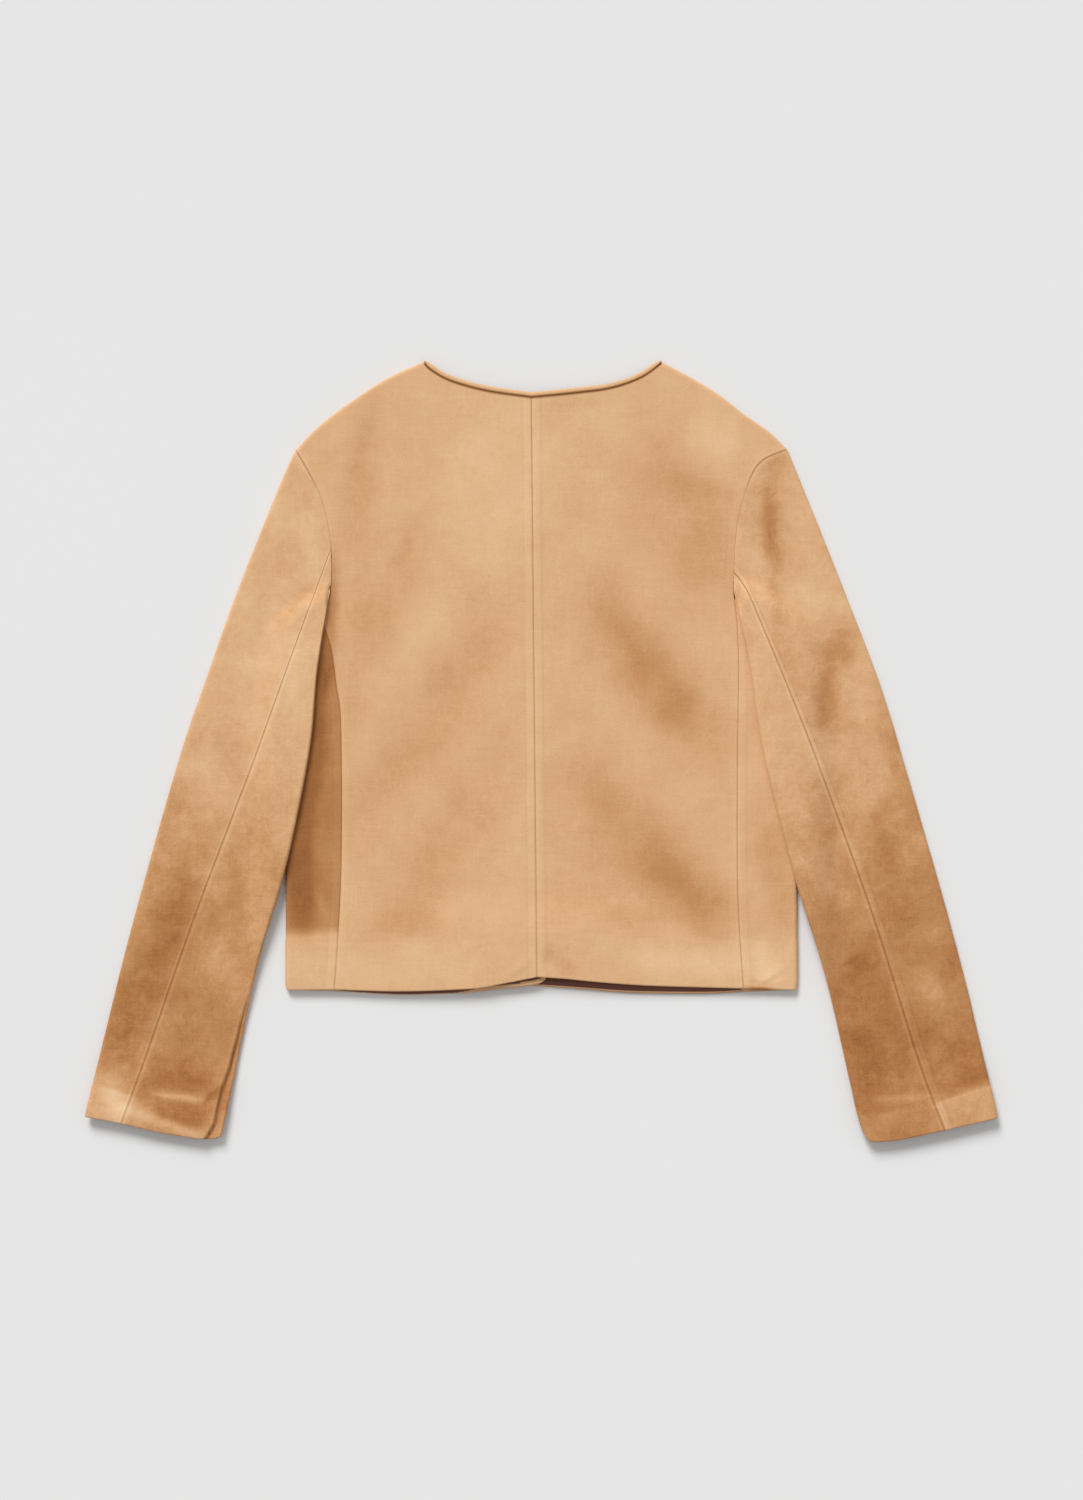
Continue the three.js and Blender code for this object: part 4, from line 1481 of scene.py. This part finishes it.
class SleevePanel(WrapPanel):
    """Half of a two-piece sleeve: the upper wraps its outer fold, the under its inner."""

    def __init__(self, side: Side, upper: bool) -> None:
        """Takes the half's edges and lays out its two layers.

        Args:
            side: the half of the jacket.
            upper: whether it is the upper half, which wraps the outer fold.
        """
        super().__init__(side=side, outward=-side.sign if upper else side.sign)
        self.upper = upper
        self.edges = {"start": Edge.SEAM, "end": Edge.SEAM, "low": Edge.SEAM, "high": Edge.CUFF}
        self.top = self.half(side.back_armhole, side.back_seam, through(side.sleeve_seam))
        self.bottom = self.half(side.front_armhole, FRONT_SEAM_AT, self.inner_seam())

    @property
    def name(self) -> str:
        """The piece's name."""
        return f"sleeve_{self.side.name}_{'upper' if self.upper else 'under'}"

    def inner_seam(self) -> Curve:
        """Returns the hidden seam, a constant distance in from the inner fold.

        Returns:
            The seam, drawn to its place on the armhole over its first tenth.
        """
        inner = through(self.side.inner)
        start = through(self.side.front_armhole)(FRONT_SEAM_AT)
        away = Vector((self.side.sign * INNER_SEAM_IN * 0.97, INNER_SEAM_IN * 0.24))
        return lambda v: (inner(v) + away).lerp(start, max(0.0, 1 - v / 0.1))

    def half(self, armhole_rows: Rows, seam_share: float, seam: Curve) -> Plan:
        """Returns the plan of one layer, from the fold to a seam.

        Args:
            armhole_rows: rows of the armhole on that layer.
            seam_share: where on the armhole the seam starts.
            seam: the seam.

        Returns:
            The layer's plan.
        """
        side, upper = self.side, self.upper
        edge = through(side.outer if upper else side.inner)
        cuff = through(side.cuff)
        armhole = beside(through(armhole_rows), -side.sign * ARMHOLE_GAP)
        first = 1.0 if upper else side.sleeve_start
        seam_cuff = min((i / 200 for i in range(201)), key=lambda share: abs(cuff(share).x - seam(1).x))
        cuff_start = 0.0 if upper else 1.0

        def low(u: float) -> Vector:
            """Returns the layer's edge at the armhole."""
            return armhole(lerp(first, seam_share, u))

        def high(u: float) -> Vector:
            """Returns its edge at the cuff."""
            return cuff(lerp(cuff_start, seam_cuff, u))

        start_gap, end_gap = low(1) - seam(0), high(1) - seam(1)
        fold_gap = low(0) - edge(0)

        def near(v: float) -> Vector:
            """Returns the fold, drawn to the armhole over its first eighth."""
            return edge(v) + fold_gap * max(0.0, 1 - 8 * v)

        def far(v: float) -> Vector:
            """Returns the seam, drawn to both edges."""
            return seam(v) + start_gap * (1 - v) + end_gap * v

        return patch(low, high, near, far)

    def heights(self, p: Vector, v: float) -> tuple[float, float]:
        """Returns the sleeve's lower and upper faces."""
        return sleeve_heights(self.side, p, v)

    def columns(self) -> list[float]:
        """Returns the columns.

        Returns:
            Them from seam to seam, closer on the under sleeve.
        """
        if self.upper:
            return self.wrap_columns(UPPER_WIDTH, UPPER_WIDTH)
        return self.wrap_columns(UNDER_WIDTH, 30, 1.5)

    def firmness_and_shadow(self, where: str, p: Vector) -> float:
        """Returns 1 on the long seams, and less down the armhole than at its top; more where the left
        sleeve's shadow is painted on it.
        """
        return 1.35 if where != "low" else armhole_firmness_and_shadow(self.side, p.y)

    def allowance(self, where: str) -> float:
        """Returns the lift of the seam allowance.

        Args:
            where: the edge.

        Returns:
            The lift in millimetres, most where it is pressed towards the upper half.
        """
        if where != "start" or not self.upper:
            return 0.06
        return 0.6 if self.side.sign > 0 else 0.1

    def tuck(self, p: Vector) -> tuple[float, float, float]:
        """Returns the fold inside the left cuff, where the cloth is caught under itself.

        Args:
            p: the point.

        Returns:
            The height, the strength of the painted shade line at the fold, and the painted shade and
            highlight in the nap.
        """
        if self.upper or self.side.sign > 0:
            return 0.0, 0.0, 0.0
        return LEFT_CUFF_TUCK.at(p.x, p.y)

    def fold_shade(self, p: Vector) -> float:
        """Returns a painted highlight on the fold, but painted shade where the left sleeve lies on the body.
        """
        deep = ride(self.side, p) if self.side.sign < 0 and not self.upper else 0.0
        return lerp(-0.5, 1.0, smoothstep(deep, 0.3, 0.7))

    def rows(self) -> list[float]:
        """Returns the rows."""
        return spaced(SLEEVE_LENGTH, 3.4, True, True)

    def nap_and_painted_light_strokes(self) -> Sequence[Stroke]:
        """Returns this sleeve's nap, with its painted shade."""
        return LEFT_SLEEVE_NAP_AND_PAINTED_LIGHT if self.side.sign < 0 else RIGHT_SLEEVE_NAP_AND_PAINTED_LIGHT

    def crease_strokes(self) -> Sequence[Stroke]:
        """Returns this sleeve's creases."""
        return LEFT_SLEEVE_CREASES if self.side.sign < 0 else RIGHT_SLEEVE_CREASES

    def own_shade(self, p: Vector, v: float, gaps: dict[str, float]) -> float:
        """Returns a shade that deepens towards the cuff and lightens on it.

        Args:
            p: the point; not used.
            v: its share of the sleeve's length.
            gaps: distance to each edge over the cloth; not used.

        Returns:
            The shade, more for darker.
        """
        left = self.side.sign < 0
        low = 0.85 if left else 1.05
        deep = (0.02 if left else 0.12) + smoothstep(v, 0.25, 0.78) * low
        deep += smoothstep(v, 0.7, 0.93) * 0.25
        turned_up = (0.55 if left else 0.95) if self.upper else 0.35
        return self.shade + deep - turned_up * smoothstep(v, 0.947, 0.955)


@dataclass
class NeckBinding:
    """A narrow rounded rim of the same cloth along a neck edge.

    Args:
        name: the piece's name.
        curve: the neck edge.
        height: its height over the floor at a plan point.
        outside: 1 or -1, the side of the curve that it lies on.
        width: half its width in plan.
        depth: half its height.
        gap: its distance from the edge.
    """

    name: str
    curve: Curve
    height: Callable[[Vector], float]
    outside: int
    width: float = 2.0
    depth: float = 1.2
    gap: float = 0.1

    AROUND = 18
    ALONG = 110
    OPEN_TURN = math.radians(310)

    def build(self) -> bpy.types.Object:
        """Returns the finished rim.

        Returns:
            The piece, round on its outside and tapered at its ends.
        """
        bm = bmesh.new()
        bmesh.ops.create_grid(bm, x_segments=self.AROUND, y_segments=self.ALONG, size=0.5)
        nap = bm.verts.layers.float.new("nap")
        seam = bm.verts.layers.float.new("seam")
        middle = beside(self.curve, self.outside * (self.width + self.gap))
        for vert in bm.verts:
            turn = vert.co.x * self.OPEN_TURN
            share = lerp(0.004, 0.996, vert.co.y + 0.5)
            taper = smoothstep(min(share, 1 - share), -0.02, 0.05)
            centre = middle(share)
            away = (centre - self.curve(share)).normalized()
            p = centre + away * math.cos(turn) * self.width * taper
            z = self.height(centre) + math.sin(turn) * self.depth * lerp(0.6, 1, taper)
            vert.co = Vector((p.x, p.y, max(z, 0.05))) * MM
            vert[nap] = 0.35
            # Painted shade on the side of the rim that faces the back's neck edge.
            vert[seam] = 0.85 * smoothstep(-math.cos(turn), 0.0, 0.6)
        if self.outside > 0:
            bmesh.ops.reverse_faces(bm, faces=bm.faces)
        return finished_cloth(bm, self.name, RIM_CLOTH)


# ---- Assemblies ----
BINDING_AREA = 0.78  # of a rim's width times its length


@dataclass(frozen=True)
class Cut:
    """How a piece was cut.

    Args:
        width: its flat width, in metres.
        length: its flat length, in metres; not used.
        area: its flat area, in square metres; not used.
        slot: the material slot that it belongs to.
        rests_on: the pieces that it lies on.
    """

    width: float
    length: float
    area: float
    slot: str
    rests_on: tuple[str, ...] = ()


class Jacket:
    """The whole jacket: its panels, facings, sleeves and neck rims."""

    CUTS = {
        "back": Cut(0.225, 0.568, 0.103, "suede"),
        "side": Cut(0.118, 0.342, 0.034, "suede"),
        "front": Cut(0.240, 0.570, 0.104, "suede"),
        "facing": Cut(0.115, 0.535, 0.040, "facing"),
        "upper": Cut(0.235, 0.625, 0.105, "suede"),
        "under": Cut(0.140, 0.600, 0.051, "suede"),
        "binding": Cut(0.010, 0.233, 0.0018, "binding"),
    }

    def __init__(self) -> None:
        """Makes the materials, which share one brushed nap."""
        brushed = brushed_group()
        self.materials = {
            "suede": SUEDE.build(brushed),
            "sleeve": SLEEVE_SUEDE.build(brushed),
            "facing": FACING_SUEDE.build(brushed),
            "binding": BINDING_SUEDE.build(brushed),
            "shaded_reverse": SHADED_REVERSE.build(brushed),
        }

    def dress(self, node: str, piece: bpy.types.Object, cut: Cut) -> None:
        """Args:
            node: the solid it stands for.
            piece: the finished piece.
            cut: its flat cut.
        """
        shown = "sleeve" if node.startswith("sleeve") else cut.slot
        # The inner faces of suede pieces take the shaded reverse: painted shade inside.
        for material in (shown, "shaded_reverse" if cut.slot == "suede" else shown, shown):
            piece.data.materials.append(self.materials[material])
        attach(piece, "root")
        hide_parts(node)
        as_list(cut.rests_on)

    def build(self) -> None:
        """Builds and dresses every piece in order."""
        made = []
        for side in (LEFT, RIGHT):
            made.append((FrontPanel(side), "front"))
            made.append((FacingPanel(side), "facing"))
            made.append((SidePanel(side), "side"))
            made.append((BackPanel(side), "back"))
            made.append((SleevePanel(side, True), "upper"))
            made.append((SleevePanel(side, False), "under"))
        for panel, kind in made:
            self.dress(panel.name, panel.build(), self.CUTS[kind])
        for binding, length in self.bindings():
            width = self.CUTS["binding"].width
            cut = Cut(width, length, BINDING_AREA * width * length, "binding")
            self.dress(binding.name, binding.build(), cut)

    def bindings(self) -> list[tuple[NeckBinding, float]]:
        """Returns the neck rims.

        Returns:
            Each rim with its length, in metres.
        """
        left, right = through(LEFT.back_neck), through(RIGHT.back_neck)

        def back(share: float) -> Vector:
            """Returns the back neck, from its left end to its right end."""
            return left(1 - 2 * share) if share < 0.5 else right(2 * share - 1)

        def back_height(p: Vector) -> float:
            """Returns the back rim's height, arched in the middle."""
            return LOFT + 1.4 * math.exp(-((p.x / 70) ** 2)) - 1.45

        def front_height(side: Side) -> Callable[[Vector], float]:
            """Returns a front rim's height as a function, raised on the lapped half."""
            return lambda p: 1.3 + (lap_height(p) if side.sign < 0 else 0.0)

        rims = [(NeckBinding("neck_binding_back", back, back_height, 1), 0.233)]
        for side, length in ((LEFT, 0.152), (RIGHT, 0.168)):
            rim = NeckBinding(f"neck_binding_front_{side.name}", through(side.front_neck),
                              front_height(side), side.sign)
            rims.append((rim, length))
        return rims


@dataclass(frozen=True)
class Studio:
    """The pale surface under the jacket, a soft sun from the upper left and the camera.

    Args:
        floor: the surface's brightness.
        sky: strength of the light from all round.
        sun: strength of the sun.
        softness: the sun's angle, in degrees.
        elevation: how high the sun stands, in degrees.
        azimuth: where it stands, in degrees anticlockwise from +X.
        drop: how far the surface lies under the jacket, in millimetres.
        focal: the camera's focal length, in millimetres.
        eye: where the camera is, in metres.
    """

    floor: float = 0.80
    sky: float = 0.50
    sun: float = 2.52
    softness: float = 25.0
    elevation: float = 38.0
    azimuth: float = 110.0
    drop: float = 0.3
    focal: float = 90.0
    eye: tuple[float, float, float] = (0, 0.00135, 3.375)

    def build(self) -> None:
        """Builds the surface, the lights and the camera."""
        self.surface()
        self.room()
        self.lamp()
        self.camera()
        bpy.context.scene.view_settings.view_transform = "Standard"

    def surface(self) -> None:
        """Builds the pale surface that the jacket lies on."""
        bm = bmesh.new()
        bmesh.ops.create_grid(bm, x_segments=1, y_segments=1, size=4)
        mesh = bpy.data.meshes.new("surface")
        bm.to_mesh(mesh)
        bm.free()
        ground = bpy.data.objects.new("surface", mesh)
        ground.location.z = -self.drop * MM
        bpy.context.scene.collection.objects.link(ground)
        material = bpy.data.materials.new("pale_surface")
        material.use_nodes = True
        tree = material.node_tree
        tree.nodes.clear()
        place = new_node(tree, "ShaderNodeTexCoord").outputs["Object"]
        soft = new_node(tree, "ShaderNodeTexNoise", {"Vector": place, "Scale": 2.0, "Detail": 1.0})
        dim, bright = self.floor * 0.995, self.floor * 1.005
        tint = new_node(tree, "ShaderNodeMapRange", {0: soft.outputs["Fac"], 3: dim, 4: bright})
        paint = new_node(tree, "ShaderNodeBsdfDiffuse", {0: tint.outputs[0]})
        new_node(tree, "ShaderNodeOutputMaterial", {0: paint.outputs[0]})
        mesh.materials.append(material)

    def room(self) -> None:
        """Builds the even light from all round."""
        world = bpy.data.worlds.new("soft_room")
        world.use_nodes = True
        back = world.node_tree.nodes["Background"]
        back.inputs[0].default_value = (1, 1, 1, 1)
        back.inputs[1].default_value = self.sky
        bpy.context.scene.world = world

    def lamp(self) -> None:
        """Builds the soft sun."""
        light = bpy.data.lights.new("sun", "SUN")
        light.energy = self.sun
        light.angle = math.radians(self.softness)
        lamp = bpy.data.objects.new("sun", light)
        rise, turn = math.radians(self.elevation), math.radians(self.azimuth)
        flat = math.cos(rise)
        towards = Vector((flat * math.cos(turn), flat * math.sin(turn), math.sin(rise)))
        lamp.rotation_euler = towards.to_track_quat("Z", "Y").to_euler()
        bpy.context.scene.collection.objects.link(lamp)

    def camera(self) -> None:
        """Builds the camera, which looks straight down."""
        lens = bpy.data.cameras.new("camera")
        lens.lens = self.focal
        lens.sensor_width = 36
        lens.clip_start = 0.1
        lens.clip_end = 20
        camera = bpy.data.objects.new("camera", lens)
        camera.location = self.eye
        bpy.context.scene.collection.objects.link(camera)
        bpy.context.scene.camera = camera


def main() -> None:
    """Builds the jacket and its setting."""
    noise.seed_set(NOISE_SEED)
    Jacket().build()
    Studio().build()


if __name__ == "__main__":
    main()
